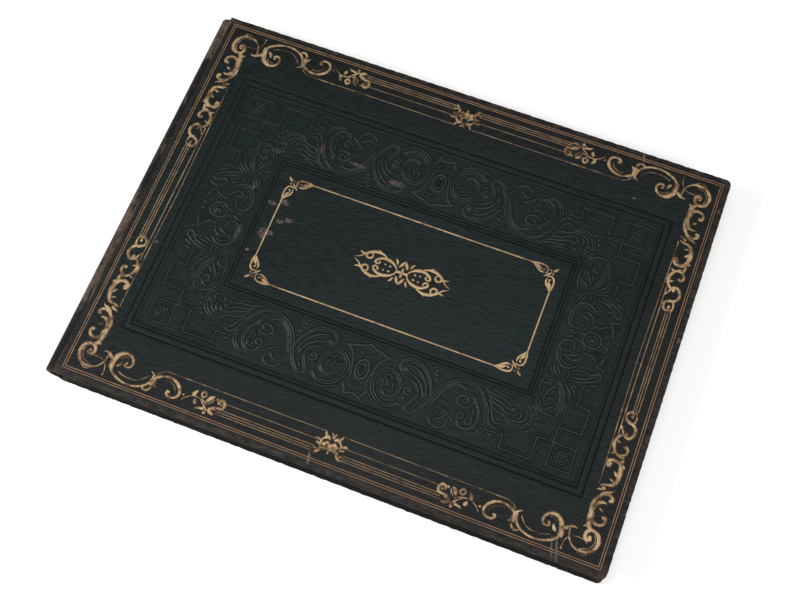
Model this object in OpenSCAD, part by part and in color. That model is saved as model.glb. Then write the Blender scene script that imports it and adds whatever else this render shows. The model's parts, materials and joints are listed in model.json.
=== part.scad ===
// Oblong keepsake album bound in blocked leather, with card leaves hung on linen guards.
// Millimetres. The album lies shut on its back cover: +X points to the fore-edge, +Y to the
// head, +Z up through the front cover. The origin is under the middle of the whole album.

/* [Covers] */
// Width of a cover from the spine joint to the fore-edge
cover_w = 280; // [200:1:340]
// Height of a cover from tail to head
cover_h = 215; // [150:1:260]
// Thickness of the pasteboard
board_t = 2.4; // [1.8:0.1:4]
// Thickness of the covering leather
leather_t = 0.8; // [0.5:0.05:1.2]
// Thickness of the pared turn-ins and of the pastedown between them
paste_t = 0.3; // [0.2:0.05:0.6]
// Width of the leather turned in round the inside of a cover
turn_in = 15; // [8:1:25]
// Radius of the worn corners of a cover
corner_r = 3; // [1.5:0.5:8]
// Rounding of the worn outer edges of a cover
edge_r = 1.2; // [0.4:0.1:1.6]

/* [Blocked panel] */
// Half width of the blind outer frame, from the middle of the cover
panel_half_w = 117.8; // [90:0.2:125]
// Half height of the blind outer frame
panel_half_h = 74.5; // [55:0.5:95]
// Half width of the blind inner frame
inner_half_w = 81; // [60:0.5:88]
// Half height of the blind inner frame
inner_half_h = 36.7; // [20:0.1:44]
// Half width of the plain panel in the middle
centre_half_w = 72.5; // [40:0.5:78]
// Half height of the plain panel in the middle
centre_half_h = 28.7; // [12:0.1:33]
// Depth of the blind blocking
blind_d = 0.3; // [0.1:0.05:0.4]
// Width of a blind frame line
blind_line = 0.9; // [0.5:0.1:1.5]
// Side of the ornamental square in each corner of the panel
square_side = 12.2; // [8:0.2:16]

/* [Leaves] */
// Card leaves in each half of the block
half_leaves = 5; // [3:1:8]
// Thickness of a card leaf
leaf_t = 0.58; // [0.4:0.02:0.8]
// Thickness of a paper flyleaf
fly_t = 0.25; // [0.15:0.05:0.4]
// Distance from the leaves to the cover edges
square_margin = 4; // [2:0.5:7]
// Radius of the leaf corners at the fore-edge
leaf_corner_r = 2; // [0.5:0.5:10]
// Thickness of the linen guards
guard_t = 0.2; // [0.15:0.01:0.3]
// Free linen between the sewn stubs and a leaf
guard_free = 18; // [18:0.5:24]
// Width of the linen glued under the inner edge of a leaf
guard_lap = 8; // [4:0.5:14]
// Depth of the sewn stubs, measured in from the spine edge of the covers
stub_depth = 7; // [6:0.5:10]
// Clearance under each guard
leaf_gap = 0.05; // [0.03:0.01:0.1]
// Clearance between the uppermost flyleaf and the front pastedown
top_gap = 0.15; // [0.1:0.05:0.3]

/* [Spine] */
// How far the spine stands out past the covers
spine_bulge = 6; // [5.6:0.1:7.5]
// Drop from the face of a cover to the spine at the joint
joint_drop = 2.6; // [2.5:0.05:3]
// Radius of the leather where it leaves the cover
joint_outer_r = 0.7; // [0.6:0.05:0.8]
// Radius of the leather where it runs into the spine
joint_inner_r = 0.8; // [0.6:0.05:0.9]
// How far the rounded back of the sewn stubs stands out
back_rise = 4; // [3:0.1:4.4]
// Thickness of the lining glued over the tapes
lining_t = 0.25; // [0.15:0.05:0.4]
// Wall of the hollow paper tube between lining and leather
tube_t = 0.3; // [0.2:0.05:0.4]
// Depth of the leather turned in over each end of the spine
headcap_depth = 2.6; // [1.5:0.1:3.5]
// Clearance between layers that are glued in the real binding
glue_gap = 0.05; // [0.03:0.01:0.1]

/* [Sewing] */
// Number of linen tapes
tape_count = 3; // [2:1:5]
// Width of a tape
tape_w = 12; // [6:1:18]
// Thickness of a tape
tape_t = 0.25; // [0.15:0.05:0.4]
// Length of the tape end glued into a cover
slip_length = 32; // [15:1:60]
// Distance between the outermost tapes, middle to middle
tape_span = 140; // [80:5:180]
// Radius of the roll of a headband
headband_r = 0.8; // [0.5:0.1:0.9]

/* [Hidden] */
cover_t = leather_t + board_t + paste_t;
fly_pitch = fly_t + guard_t + leaf_gap;
leaf_pitch = leaf_t + guard_t + leaf_gap;
leaf_count = 2 * half_leaves;
block_t = top_gap + 2 * fly_pitch + leaf_count * leaf_pitch;
album_t = 2 * cover_t + block_t;

// Places across the album, from the spine to the fore-edge
fore_x = (cover_w + spine_bulge) / 2;
joint_x = fore_x - cover_w;
cover_mid_x = (fore_x + joint_x) / 2;
hinge_x = joint_x + leather_t / 2;
skin_x = hinge_x + joint_outer_r;
stub_x = joint_x + stub_depth;
leaf_x = stub_x + guard_free;
leaf_end_x = fore_x - square_margin;
leaf_h = cover_h - 2 * square_margin;

// The half-round spine, about an axis along Y
mid_z = album_t / 2;
spine_r = mid_z - joint_drop;
spine_x = hinge_x - joint_inner_r;
spine_inner_r = spine_r - leather_t;

// The rounded back of the sewn stubs
back_half = block_t / 2 - glue_gap;
back_edge_x = joint_x + 1.5;
back_r = (back_half * back_half + back_rise * back_rise) / (2 * back_rise);
back_x = back_edge_x - back_rise + back_r;
tape_r = back_r + tape_t;
lining_r = tape_r + glue_gap + lining_t;
tube_inner_r = lining_r + glue_gap;
tube_outer_r = spine_inner_r - glue_gap;
spine_half_h = cover_h / 2 - 0.5;
fine = 48;

leather_colour = "#1d2622";
worn_colour = "#3a2f27";
board_colour = "#8d7f68";
paper_colour = "#e2d7bd";
card_colour = "#d8cbab";
linen_colour = "#cfc6ae";
thread_colour = "#7a3b34";

function leaf_name(i) = str("leaf_", i < 10 ? "0" : "", i);
function guard_name(i) = str("guard_", i < 10 ? "0" : "", i);
// Underside of the front flyleaf, of card leaf i counted from the front, and of the back flyleaf
front_fly_z = album_t - cover_t - top_gap - fly_t;
function leaf_z(i) = front_fly_z - guard_t - leaf_gap - leaf_t - (i - 1) * leaf_pitch;
back_fly_z = cover_t + leaf_gap + guard_t;

// Moves what is drawn in the XZ plane so that it stands upright and runs along Y
module along_y(length) {
    rotate([90, 0, 0]) linear_extrude(length, center = true) children();
}

// Everything of the back cover is the front cover turned over
module back_side() {
    translate([0, 0, album_t]) mirror([0, 0, 1]) children();
}

// Rectangle from x0 to x1 whose two corners at the fore-edge are rounded
module fore_rounded(x0, x1, h, r) {
    translate([x0, -h / 2]) square([x1 - x0 - r, h]);
    translate([x0, r - h / 2]) square([x1 - x0, h - 2 * r]);
    for (side = [-1, 1]) translate([x1 - r, side * (h / 2 - r)]) circle(r, $fn = fine);
}

// Outer form of a cover: its plan, cut by the worn edges along the long and the short sides
module cover_form() {
    top = album_t;
    low = album_t - cover_t;
    intersection() {
        translate([0, 0, low]) linear_extrude(cover_t) fore_rounded(skin_x, fore_x, cover_h, corner_r);
        rotate([90, 0, 90]) linear_extrude(2 * cover_w, center = true) {
            translate([edge_r - cover_h / 2, low]) square([cover_h - 2 * edge_r, cover_t]);
            translate([-cover_h / 2, low]) square([cover_h, cover_t - edge_r]);
            for (side = [-1, 1]) {
                translate([side * (cover_h / 2 - edge_r), top - edge_r]) circle(edge_r, $fn = fine);
            }
        }
        along_y(2 * cover_h) {
            translate([skin_x, low]) square([fore_x - edge_r - skin_x, cover_t]);
            translate([skin_x, low]) square([fore_x - skin_x, cover_t - edge_r]);
            translate([fore_x - edge_r, top - edge_r]) circle(edge_r, $fn = fine);
        }
    }
}

// Plan of the pasteboard inside the leather
module board_plan() {
    fore_rounded(skin_x, fore_x - leather_t, cover_h - 2 * leather_t, corner_r - leather_t);
}

// Plan of the pastedown, inside the turn-ins
module pastedown_plan(clear) {
    translate([skin_x, turn_in - cover_h / 2 + clear])
        square([cover_w - turn_in - (skin_x - joint_x) - clear, cover_h - 2 * turn_in - 2 * clear]);
}

// A frame line of the blocking, drawn round the middle of the cover
module frame_line(half_w, half_h, line) {
    translate([cover_mid_x, 0]) difference() {
        square([2 * half_w, 2 * half_h], center = true);
        square([2 * (half_w - line), 2 * (half_h - line)], center = true);
    }
}

// The square in each corner of the panel, with its stepped key on either side
module corner_key() {
    step = square_side / 2;
    difference() {
        square(square_side);
        translate([step / 3, step / 3]) difference() {
            square(square_side - 2 * step / 3);
            translate([blind_line, blind_line]) square(square_side - 2 * step / 3 - 2 * blind_line);
        }
        translate([step, step]) circle(step / 3, $fn = fine);
    }
    translate([square_side + blind_line, step]) square([step, 1.5 * step]);
    translate([step, square_side + blind_line]) square([1.5 * step, step]);
    translate([square_side + blind_line, square_side + blind_line]) square(step);
}

// What the hot plate presses into the leather
module blind_blocking() {
    band = 4;
    frame_line(panel_half_w, panel_half_h, blind_line);
    frame_line(centre_half_w, centre_half_h, blind_line);
    difference() {
        frame_line(panel_half_w - band, panel_half_h - band, panel_half_w - band - inner_half_w);
        translate([cover_mid_x, 0]) square([2 * inner_half_w, 2 * inner_half_h], center = true);
        translate([cover_mid_x, 0]) for (sx = [0, 1], sy = [0, 1]) mirror([sx, 0]) mirror([0, sy])
            translate([band - panel_half_w + blind_line, band - panel_half_h + blind_line]) corner_key();
    }
}

module cover_leather() {
    difference() {
        cover_form();
        translate([0, 0, album_t - cover_t + paste_t]) linear_extrude(board_t) board_plan();
        translate([0, 0, album_t - cover_t - 1]) linear_extrude(paste_t + 1.01) pastedown_plan(0);
        translate([0, 0, album_t - blind_d]) linear_extrude(1) blind_blocking();
    }
}

// Middles of the tapes, along the spine
function tape_y(i) = -tape_span / 2 + i * tape_span / (tape_count - 1);

module cover_board() {
    difference() {
        translate([0, 0, album_t - cover_t + paste_t]) linear_extrude(board_t) board_plan();
        for (i = [0:tape_count - 1]) {
            translate([skin_x - 1, tape_y(i) - tape_w / 2, album_t - cover_t + paste_t - 1])
                cube([slip_length + 1, tape_w, tape_t + 1]);
        }
    }
}

module tape_slips() {
    for (i = [0:tape_count - 1]) {
        translate([skin_x, tape_y(i) - tape_w / 2 + glue_gap, album_t - cover_t + paste_t])
            cube([slip_length - glue_gap, tape_w - 2 * glue_gap, tape_t]);
    }
}

module pastedown() {
    translate([0, 0, album_t - cover_t]) linear_extrude(paste_t) pastedown_plan(glue_gap);
}

// Quarter of a bent strip of leather, about a corner of the joint
module bend(r) {
    intersection() {
        difference() {
            circle(r + leather_t / 2, $fn = fine);
            circle(r - leather_t / 2, $fn = fine);
        }
        square(2 * r + leather_t);
    }
}

// Leather from the edge of a cover, down its side and out over the spine
module joint_leather() {
    outer_z = album_t - leather_t / 2 - joint_outer_r;
    inner_z = mid_z + spine_r - leather_t / 2 + joint_inner_r;
    along_y(cover_h - 1) {
        translate([skin_x, outer_z]) mirror([1, 0]) bend(joint_outer_r);
        translate([hinge_x - leather_t / 2, inner_z]) square([leather_t, outer_z - inner_z]);
        translate([spine_x, inner_z]) mirror([0, 1]) bend(joint_inner_r);
    }
}

// Half-round leather back, turned in over the ends of the hollow to form the headcaps
module spine_leather() {
    lip_r = leather_t / 2;
    translate([spine_x, 0, mid_z]) rotate([90, -90, 0])
        rotate_extrude(angle = 180, $fn = 96) {
            translate([spine_inner_r, lip_r - spine_half_h]) square([leather_t, 2 * (spine_half_h - lip_r)]);
            for (side = [-1, 1]) {
                translate([spine_r - lip_r, side * (spine_half_h - lip_r)]) circle(lip_r, $fn = fine);
                translate([spine_r - headcap_depth, side * (spine_half_h - lip_r) - lip_r])
                    square([headcap_depth - lip_r, leather_t]);
                translate([spine_r - headcap_depth, side * (spine_half_h - lip_r)]) circle(lip_r, $fn = fine);
            }
        }
}

// Plan of what lies in the block, from x0 to the fore-edge of the leaves
module leaf_plan(x0) {
    fore_rounded(x0, leaf_end_x, leaf_h, leaf_corner_r);
}

module card_leaf(i) {
    color(card_colour) translate([0, 0, leaf_z(i)]) linear_extrude(leaf_t) leaf_plan(leaf_x);
}

module flyleaf(z) {
    color(paper_colour) translate([0, 0, z]) linear_extrude(fly_t) leaf_plan(leaf_x);
}

// Linen strip under the inner edge of the leaf whose underside is at z
module linen_guard(z) {
    color(linen_colour) translate([stub_x, -leaf_h / 2, z - guard_t])
        cube([guard_free + guard_lap, leaf_h, guard_t]);
}

// Block of the guards' sewn ends and the stubs between them, with a rounded back
module stub_slice(z0, z1) {
    intersection() {
        translate([back_x - back_r - 1, -leaf_h / 2, z0]) cube([stub_x - back_x + back_r + 1, leaf_h, z1 - z0]);
        along_y(leaf_h) union() {
            translate([back_x, mid_z]) circle(back_r, $fn = 96);
            translate([back_edge_x, mid_z - back_half]) square([stub_x - back_edge_x, 2 * back_half]);
        }
    }
}

module guard_stubs() {
    top = mid_z + back_half;
    slice = 2 * back_half / (leaf_count + 2);
    color(linen_colour) for (i = [0:leaf_count + 1]) {
        stub_slice(top - (i + 1) * slice, top - i * slice - glue_gap / 2);
    }
}

// Band that follows the rounded back between two radii
module back_band(r0, r1, length) {
    along_y(length) intersection() {
        translate([back_x, mid_z]) difference() {
            circle(r1, $fn = 96);
            circle(r0, $fn = 96);
        }
        translate([back_x - 2 * back_r, mid_z - back_half]) square([2 * back_r - back_x + back_edge_x, 2 * back_half]);
    }
}

module sewing_tapes() {
    color(paper_colour) for (i = [0:tape_count - 1]) {
        translate([0, tape_y(i), 0]) back_band(back_r + glue_gap / 2, tape_r, tape_w);
    }
}

module spine_lining() {
    color(board_colour) back_band(tape_r + glue_gap, lining_r, leaf_h - 6);
}

// Crescent between the leather and the lining
module crescent(inset) {
    difference() {
        translate([spine_x, mid_z]) circle(tube_outer_r - inset, $fn = 96);
        translate([back_x, mid_z]) circle(tube_inner_r + inset, $fn = 96);
        translate([spine_x, mid_z - back_half]) square([2 * back_r, 2 * back_half]);
    }
}

module hollow_tube() {
    color(board_colour) along_y(leaf_h - 2) difference() {
        crescent(0);
        crescent(tube_t);
    }
}

// Silk roll that follows the rounded back just past the ends of the leaves
module headband(side) {
    color(thread_colour) translate([back_x, side * (leaf_h / 2 + headband_r + glue_gap), mid_z])
        rotate([90, 0, 0]) rotate([0, 0, 115]) rotate_extrude(angle = 130, $fn = 96)
            translate([back_r - headband_r, 0]) circle(headband_r, $fn = 24);
}

color(board_colour) cover_board();  // front_board
color(board_colour) back_side() cover_board();  // back_board
color(leather_colour) cover_leather();  // front_cover_leather
color(leather_colour) back_side() cover_leather();  // back_cover_leather
color(worn_colour) spine_leather();
color(worn_colour) joint_leather();  // front_joint_leather
color(worn_colour) back_side() joint_leather();  // back_joint_leather
color(paper_colour) pastedown();  // front_pastedown
color(paper_colour) back_side() pastedown();  // back_pastedown
flyleaf(front_fly_z);  // front_flyleaf
flyleaf(back_fly_z);  // back_flyleaf
linen_guard(front_fly_z);  // front_flyleaf_guard
linen_guard(back_fly_z);  // back_flyleaf_guard
for (i = [1:leaf_count]) {
    card_leaf(i);
    linen_guard(leaf_z(i));
}
guard_stubs();
sewing_tapes();
color(linen_colour) tape_slips();  // front_tape_slips
color(linen_colour) back_side() tape_slips();  // back_tape_slips
spine_lining();
hollow_tube();
headband(1);
headband(-1);  // tailband
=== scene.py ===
"""Looks of an oblong keepsake album in blocked leather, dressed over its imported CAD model.

Sizes are in millimetres in the album's own frame: +X to the fore-edge, +Y to the head, +Z up
through the front cover. They become metres where a mesh is made.
"""

from __future__ import annotations

import json
import logging
import math
import re
import sys
from dataclasses import dataclass, field
from enum import Enum
from typing import Any, Mapping, Optional, Sequence, Union

import bmesh
import bpy
import numpy as np
from mathutils import Matrix, Vector

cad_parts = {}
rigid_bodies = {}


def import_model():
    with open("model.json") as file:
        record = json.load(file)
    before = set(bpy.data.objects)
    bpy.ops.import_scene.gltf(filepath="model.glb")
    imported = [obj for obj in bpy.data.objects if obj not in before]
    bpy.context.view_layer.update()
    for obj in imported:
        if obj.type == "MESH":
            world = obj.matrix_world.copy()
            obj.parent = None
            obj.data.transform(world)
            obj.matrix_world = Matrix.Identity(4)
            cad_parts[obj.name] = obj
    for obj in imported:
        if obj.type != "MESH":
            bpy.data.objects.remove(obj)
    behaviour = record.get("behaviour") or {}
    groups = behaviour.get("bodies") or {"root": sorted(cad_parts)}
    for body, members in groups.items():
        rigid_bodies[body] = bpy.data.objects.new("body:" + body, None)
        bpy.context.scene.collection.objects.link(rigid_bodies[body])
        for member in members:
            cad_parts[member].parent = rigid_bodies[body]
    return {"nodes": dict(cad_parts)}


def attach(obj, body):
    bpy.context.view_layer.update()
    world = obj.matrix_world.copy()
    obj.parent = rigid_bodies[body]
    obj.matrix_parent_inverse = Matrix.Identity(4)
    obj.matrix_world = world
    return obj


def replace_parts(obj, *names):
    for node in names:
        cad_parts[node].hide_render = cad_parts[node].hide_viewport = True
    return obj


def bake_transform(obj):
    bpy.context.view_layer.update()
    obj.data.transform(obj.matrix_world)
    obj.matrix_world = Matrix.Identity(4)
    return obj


LOG = logging.getLogger("album")
MM = 0.001
Material = bpy.types.Material
Mesh = bpy.types.Mesh
Piece = bpy.types.Object
Socket = bpy.types.NodeSocket
Colour = tuple[float, float, float]
Faces = list[tuple[int, ...]]
Line = tuple[np.ndarray, np.ndarray]
Way = tuple[tuple[float, float], ...]
Widths = tuple[float, ...]


class Side(Enum):
    """The two covers."""

    FRONT = "front"
    BACK = "back"


class Tool(Enum):
    """How the finisher's tool leaves the leather."""

    GILT = "gilt"
    BLIND = "blind"
    # A bed is a thin flat strip under a blind ridge, made dark: partly the darkening of the hot tool, partly
    # painted shadow beside the ridge.
    BED = "bed"


class Term:
    """A socket that takes part in Python sums, each of which adds a Math node."""

    def __init__(self, bench: Bench, socket: Socket) -> None:
        """Wrap a socket of the bench's tree."""
        self.bench = bench
        self.socket = socket

    def __add__(self, other: Number) -> Term:
        """Sum."""
        return self.bench.maths("ADD", self, other)

    def __radd__(self, other: Number) -> Term:
        """Sum, reflected."""
        return self.bench.maths("ADD", other, self)

    def __sub__(self, other: Number) -> Term:
        """Difference."""
        return self.bench.maths("SUBTRACT", self, other)

    def __rsub__(self, other: Number) -> Term:
        """Difference, reflected."""
        return self.bench.maths("SUBTRACT", other, self)

    def __mul__(self, other: Number) -> Term:
        """Product."""
        return self.bench.maths("MULTIPLY", self, other)

    def __rmul__(self, other: Number) -> Term:
        """Product, reflected."""
        return self.bench.maths("MULTIPLY", other, self)

    def __truediv__(self, other: Number) -> Term:
        """Quotient."""
        return self.bench.maths("DIVIDE", self, other)

    def __rtruediv__(self, other: Number) -> Term:
        """Quotient, reflected."""
        return self.bench.maths("DIVIDE", other, self)

    def __pow__(self, other: Number) -> Term:
        """Power."""
        return self.bench.maths("POWER", self, other)

    def __abs__(self) -> Term:
        """Size without sign."""
        return self.bench.maths("ABSOLUTE", self)

    def least(self, other: Number) -> Term:
        """The smaller of the two."""
        return self.bench.maths("MINIMUM", self, other)

    def most(self, other: Number) -> Term:
        """The larger of the two."""
        return self.bench.maths("MAXIMUM", self, other)

    def clamped(self) -> Term:
        """Held between 0 and 1."""
        return self.most(0.0).least(1.0)

    def rise(self, low: float, high: float) -> Term:
        """0 below low, 1 above high and smooth between them."""
        return self.bench.term(
            "ShaderNodeMapRange",
            {"interpolation_type": "SMOOTHSTEP"},
            {"Value": self, "From Min": low, "From Max": high},
        )

    def fall(self, low: float, high: float) -> Term:
        """1 below low, 0 above high and smooth between them."""
        return 1.0 - self.rise(low, high)


Number = Union[Term, float]


def spaced(sockets: Mapping[str, Any]) -> dict[str, Any]:
    """The same inputs, with a space for each _ in a name."""
    return {name.replace("_", " "): value for name, value in sockets.items()}


class Bench:
    """Adds nodes to one tree, of a finish or of Geometry Nodes."""

    def __init__(self, tree: bpy.types.NodeTree) -> None:
        """Work on this tree."""
        self.tree = tree

    def feed(self, socket: Socket, value: Any) -> None:
        """Link a term or a socket into a socket, or set its own value.

        Args:
            socket: The input to fill.
            value: A Term, an output socket, or a plain value.
        """
        if isinstance(value, Term):
            self.tree.links.new(value.socket, socket)
        elif isinstance(value, Socket):
            self.tree.links.new(value, socket)
        elif socket.type == "RGBA":
            socket.default_value = (*value, 1.0)
        else:
            socket.default_value = value

    def node(
        self,
        kind: str,
        settings: Optional[Mapping[str, Any]] = None,
        inputs: Optional[Mapping[Union[str, int], Any]] = None,
    ) -> bpy.types.Node:
        """Add a node, with its settings first and its sockets after them.

        Args:
            kind: The node's type.
            settings: Its properties by name.
            inputs: Values or links of its inputs, by name or number.

        Returns:
            The new node.
        """
        made = self.tree.nodes.new(kind)
        for name, value in (settings or {}).items():
            setattr(made, name, value)
        for key, value in (inputs or {}).items():
            self.feed(made.inputs[key], value)
        return made

    def term(
        self,
        kind: str,
        settings: Optional[Mapping[str, Any]] = None,
        inputs: Optional[Mapping[Union[str, int], Any]] = None,
        output: Union[str, int] = 0,
    ) -> Term:
        """Add a node and give one of its outputs as a term."""
        return Term(self, self.node(kind, settings, inputs).outputs[output])

    def geometry(self, kind: str, output: Union[str, int] = 0, **sockets: Any) -> Term:
        """Add a Geometry node.

        Args:
            kind: The last part of its type.
            output: The output that is wanted, by name or number.
            **sockets: Its inputs, with _ for each space in a name.

        Returns:
            The output.
        """
        return self.term(f"GeometryNode{kind}", None, spaced(sockets), output)

    def maths(self, operation: str, *values: Number) -> Term:
        """Add one Math node on these values."""
        return self.term("ShaderNodeMath", {"operation": operation}, dict(enumerate(values)))

    def vector(self, x: Number, y: Number, z: Number) -> Term:
        """Join three numbers into a vector."""
        return self.term("ShaderNodeCombineXYZ", None, {"X": x, "Y": y, "Z": z})

    def split(self, vector: Any) -> tuple[Term, ...]:
        """The three numbers of a vector."""
        made = self.node("ShaderNodeSeparateXYZ", None, {"Vector": vector})
        return tuple(Term(self, socket) for socket in made.outputs)


def cleared(owner: Union[Material, bpy.types.World]) -> bpy.types.NodeTree:
    """Give a material or a world an empty tree."""
    owner.use_nodes = True
    owner.node_tree.nodes.clear()
    return owner.node_tree


class ShaderBench(Bench):
    """Builds the shader of one finish, with places in millimetres of the album's frame."""

    def __init__(self, name: str) -> None:
        """Start a material of this name."""
        self.material = bpy.data.materials.new(name)
        super().__init__(cleared(self.material))
        metres = self.node("ShaderNodeTexCoord").outputs["Object"]
        self.place = self.term(
            "ShaderNodeVectorMath", {"operation": "SCALE"}, {"Vector": metres, "Scale": 1.0 / MM}
        )
        self.x, self.y, self.z = self.split(self.place)

    def stretched(self, x: float, y: float, z: float) -> Term:
        """The place, each of its numbers times its own factor."""
        return self.term("ShaderNodeVectorMath", {"operation": "MULTIPLY"}, {0: self.place, 1: (x, y, z)})

    def noise(
        self, scale: float, detail: float = 3.0, rough: float = 0.5, at: Optional[Term] = None
    ) -> Term:
        """Cloudy noise.

        Args:
            scale: Waves in a millimetre.
            detail: Number of finer layers.
            rough: Weight of the finer layers.
            at: Where it is read in millimetres, if not at the place itself.

        Returns:
            A term near 0.5, between 0 and 1.
        """
        return self.term("ShaderNodeTexNoise", None, {
            "Vector": at or self.place, "Scale": scale, "Detail": detail, "Roughness": rough})

    def attribute(self, name: str) -> Term:
        """A number that the mesh carries at its points."""
        return self.term("ShaderNodeAttribute", {"attribute_name": name}, None, "Fac")

    def mix(self, factor: Number, first: Any, second: Any) -> Term:
        """Colour between first, at 0, and second, at 1."""
        return self.term(
            "ShaderNodeMix", {"data_type": "RGBA"}, {0: factor, 6: first, 7: second}, 2
        )

    def bump(self, height: Term, depth: float, strength: float = 1.0) -> Term:
        """Normal of a relief.

        Args:
            height: The relief, from 0 to 1.
            depth: Its full depth in millimetres.
            strength: Share of the effect.

        Returns:
            The normal.
        """
        return self.term(
            "ShaderNodeBump", None, {"Height": height, "Distance": depth * MM, "Strength": strength})

    def close(self, **sockets: Any) -> Material:
        """Finish the shader.

        Args:
            **sockets: Inputs of the Principled shader, with _ for each space in a name.

        Returns:
            The material.
        """
        shader = self.node("ShaderNodeBsdfPrincipled", None, spaced(sockets))
        self.node("ShaderNodeOutputMaterial", None, {"Surface": shader.outputs[0]})
        return self.material


@dataclass(frozen=True)
class Sizes:
    """Sizes of the album, the same as in its CAD model."""

    fore_x: float = 143.0
    skin_x: float = -135.9
    hinge_x: float = -136.6
    spine_x: float = -137.4
    stub_x: float = -130.0
    leaf_x: float = -112.0
    lap_x: float = -104.0
    leaf_end_x: float = 139.0
    middle_x: float = 3.0
    half_h: float = 107.5
    half_leaf: float = 103.5
    half_spine: float = 107.0
    top: float = 16.45
    cover_t: float = 3.5
    leather_t: float = 0.8
    paste_t: float = 0.3
    turn_in: float = 15.0
    corner_r: float = 3.0
    edge_r: float = 1.2
    spine_r: float = 5.625
    outer_bend: float = 0.7
    inner_bend: float = 0.8
    leaf_top: float = 11.72
    leaf_pitch: float = 0.83
    leaf_count: int = 10
    guard_t: float = 0.2
    front_fly_z: float = 12.55
    back_fly_z: float = 3.75
    roll_r: float = 0.8
    roll_y: float = 104.35
    back_x: float = -134.826
    back_r: float = 4.674
    gilt_half_w: float = 135.9
    gilt_half_h: float = 103.4
    face_drop: float = 0.06
    ground_drop: float = 0.3

    @property
    def face(self) -> float:
        """Height of the plain leather of the front cover."""
        return self.top - self.face_drop

    @property
    def mid_z(self) -> float:
        """Height of the middle of the album."""
        return self.top / 2


SIZES = Sizes()


def lie(x: np.ndarray, y: np.ndarray) -> np.ndarray:
    """How far the leather rises over its mean face, in millimetres.

    Args:
        x: Places along the album.
        y: Places across it.

    Returns:
        Heights within 0.025.
    """
    slow = np.sin(x * 0.047 + 1.3) * np.cos(y * 0.061 - 0.4)
    quick = np.sin(x * 0.163 + y * 0.117 + 0.8) * np.cos(y * 0.211 - x * 0.071)
    return 0.017 * slow + 0.008 * quick


def wobble(*places: np.ndarray) -> np.ndarray:
    """Even, repeatable unevenness between -1 and 1, from two or three places in millimetres."""
    total = np.zeros_like(places[0], dtype=float)
    for k, place in enumerate(places):
        total = total + np.sin(place * (0.83 + 0.31 * k) + 1.7 * k)
        total = total + 0.6 * np.sin(place * (2.17 - 0.27 * k) + total)
    return total / (1.6 * len(places))


def rows(x: Any, y: Any, z: Any) -> np.ndarray:
    """Points as rows, from their three places, each of which is an array or one number."""
    return np.stack(np.broadcast_arrays(x, y, z), axis=-1).reshape(-1, 3)


def places(mesh: Mesh) -> np.ndarray:
    """The points of a mesh in millimetres, as rows."""
    flat = np.empty(len(mesh.vertices) * 3, np.float32)
    mesh.vertices.foreach_get("co", flat)
    return flat.reshape(-1, 3).astype(float) / MM


def carry(mesh: Mesh, name: str, values: np.ndarray) -> None:
    """Give a mesh a named number at each of its points."""
    made = mesh.attributes.new(name, "FLOAT", "POINT")
    made.data.foreach_set("value", values.astype(np.float32))


def smooth(mesh: Mesh, sharp: float = 180.0) -> None:
    """Shade a mesh smooth, except across edges sharper than this many degrees."""
    mesh.polygons.foreach_set("use_smooth", [True] * len(mesh.polygons))
    if sharp < 180.0:
        mesh.set_sharp_from_angle(angle=math.radians(sharp))


def link(name: str, data: bpy.types.ID) -> Piece:
    """Put a mesh, a lamp or a camera into the scene as an object at the origin."""
    made = bpy.data.objects.new(name, data)
    bpy.context.scene.collection.objects.link(made)
    return made


def solid(name: str, points: np.ndarray, faces: Faces, finish: Material) -> Piece:
    """Make a closed mesh, its doubled points merged and its faces outwards.

    Args:
        name: The piece's name.
        points: Its corners in millimetres.
        faces: Corner numbers of each face.
        finish: Its material.

    Returns:
        The piece.
    """
    mesh = bpy.data.meshes.new(name)
    mesh.from_pydata((points * MM).tolist(), [], faces)
    form = bmesh.new()
    form.from_mesh(mesh)
    inside_out = form.calc_volume(signed=True) < 0
    bmesh.ops.remove_doubles(form, verts=form.verts, dist=2e-7)
    bmesh.ops.dissolve_degenerate(form, edges=form.edges, dist=1e-7)
    if inside_out:
        bmesh.ops.reverse_faces(form, faces=form.faces)
    form.to_mesh(mesh)
    form.free()
    smooth(mesh, 40.0)
    mesh.materials.append(finish)
    return link(name, mesh)


def shell(outer: np.ndarray, inner: np.ndarray, faces: Faces) -> tuple[np.ndarray, Faces]:
    """Close a skin and its inner face along their common edges.

    Args:
        outer: Points of the outer face.
        inner: The same number of points, inside.
        faces: Faces of the outer one, outwards.

    Returns:
        All points and faces.
    """
    keys, first, back = np.unique(
        np.round(outer, 4), axis=0, return_index=True, return_inverse=True
    )
    back = np.asarray(back).reshape(-1)
    outer, inner, count = outer[first], inner[first], len(first)
    closed: Faces = []
    edges: dict[tuple[int, int], int] = {}
    for face in faces:
        ring = [int(back[k]) for k in face]
        ring = [a for a, b in zip(ring, ring[1:] + ring[:1]) if a != b]
        if len(set(ring)) < 3:
            continue
        closed.append(tuple(ring))
        closed.append(tuple(k + count for k in reversed(ring)))
        for a, b in zip(ring, ring[1:] + ring[:1]):
            edges[(a, b)] = edges.get((a, b), 0) + 1
    for a, b in edges:
        if (b, a) not in edges:
            closed.append((b, a, a + count, b + count))
    return np.vstack([outer, inner]), closed


def grid_faces(count: int, columns: int) -> Faces:
    """Faces of a grid of this many rows, whose points are numbered row by row."""
    return [
        (r * columns + c, r * columns + c + 1, (r + 1) * columns + c + 1, (r + 1) * columns + c)
        for r in range(count - 1)
        for c in range(columns - 1)
    ]


def turned_over(points: np.ndarray) -> np.ndarray:
    """Points of the front cover moved to the back cover, its mirror image."""
    over = points.copy()
    over[:, 2] = SIZES.top - over[:, 2]
    return over


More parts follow.
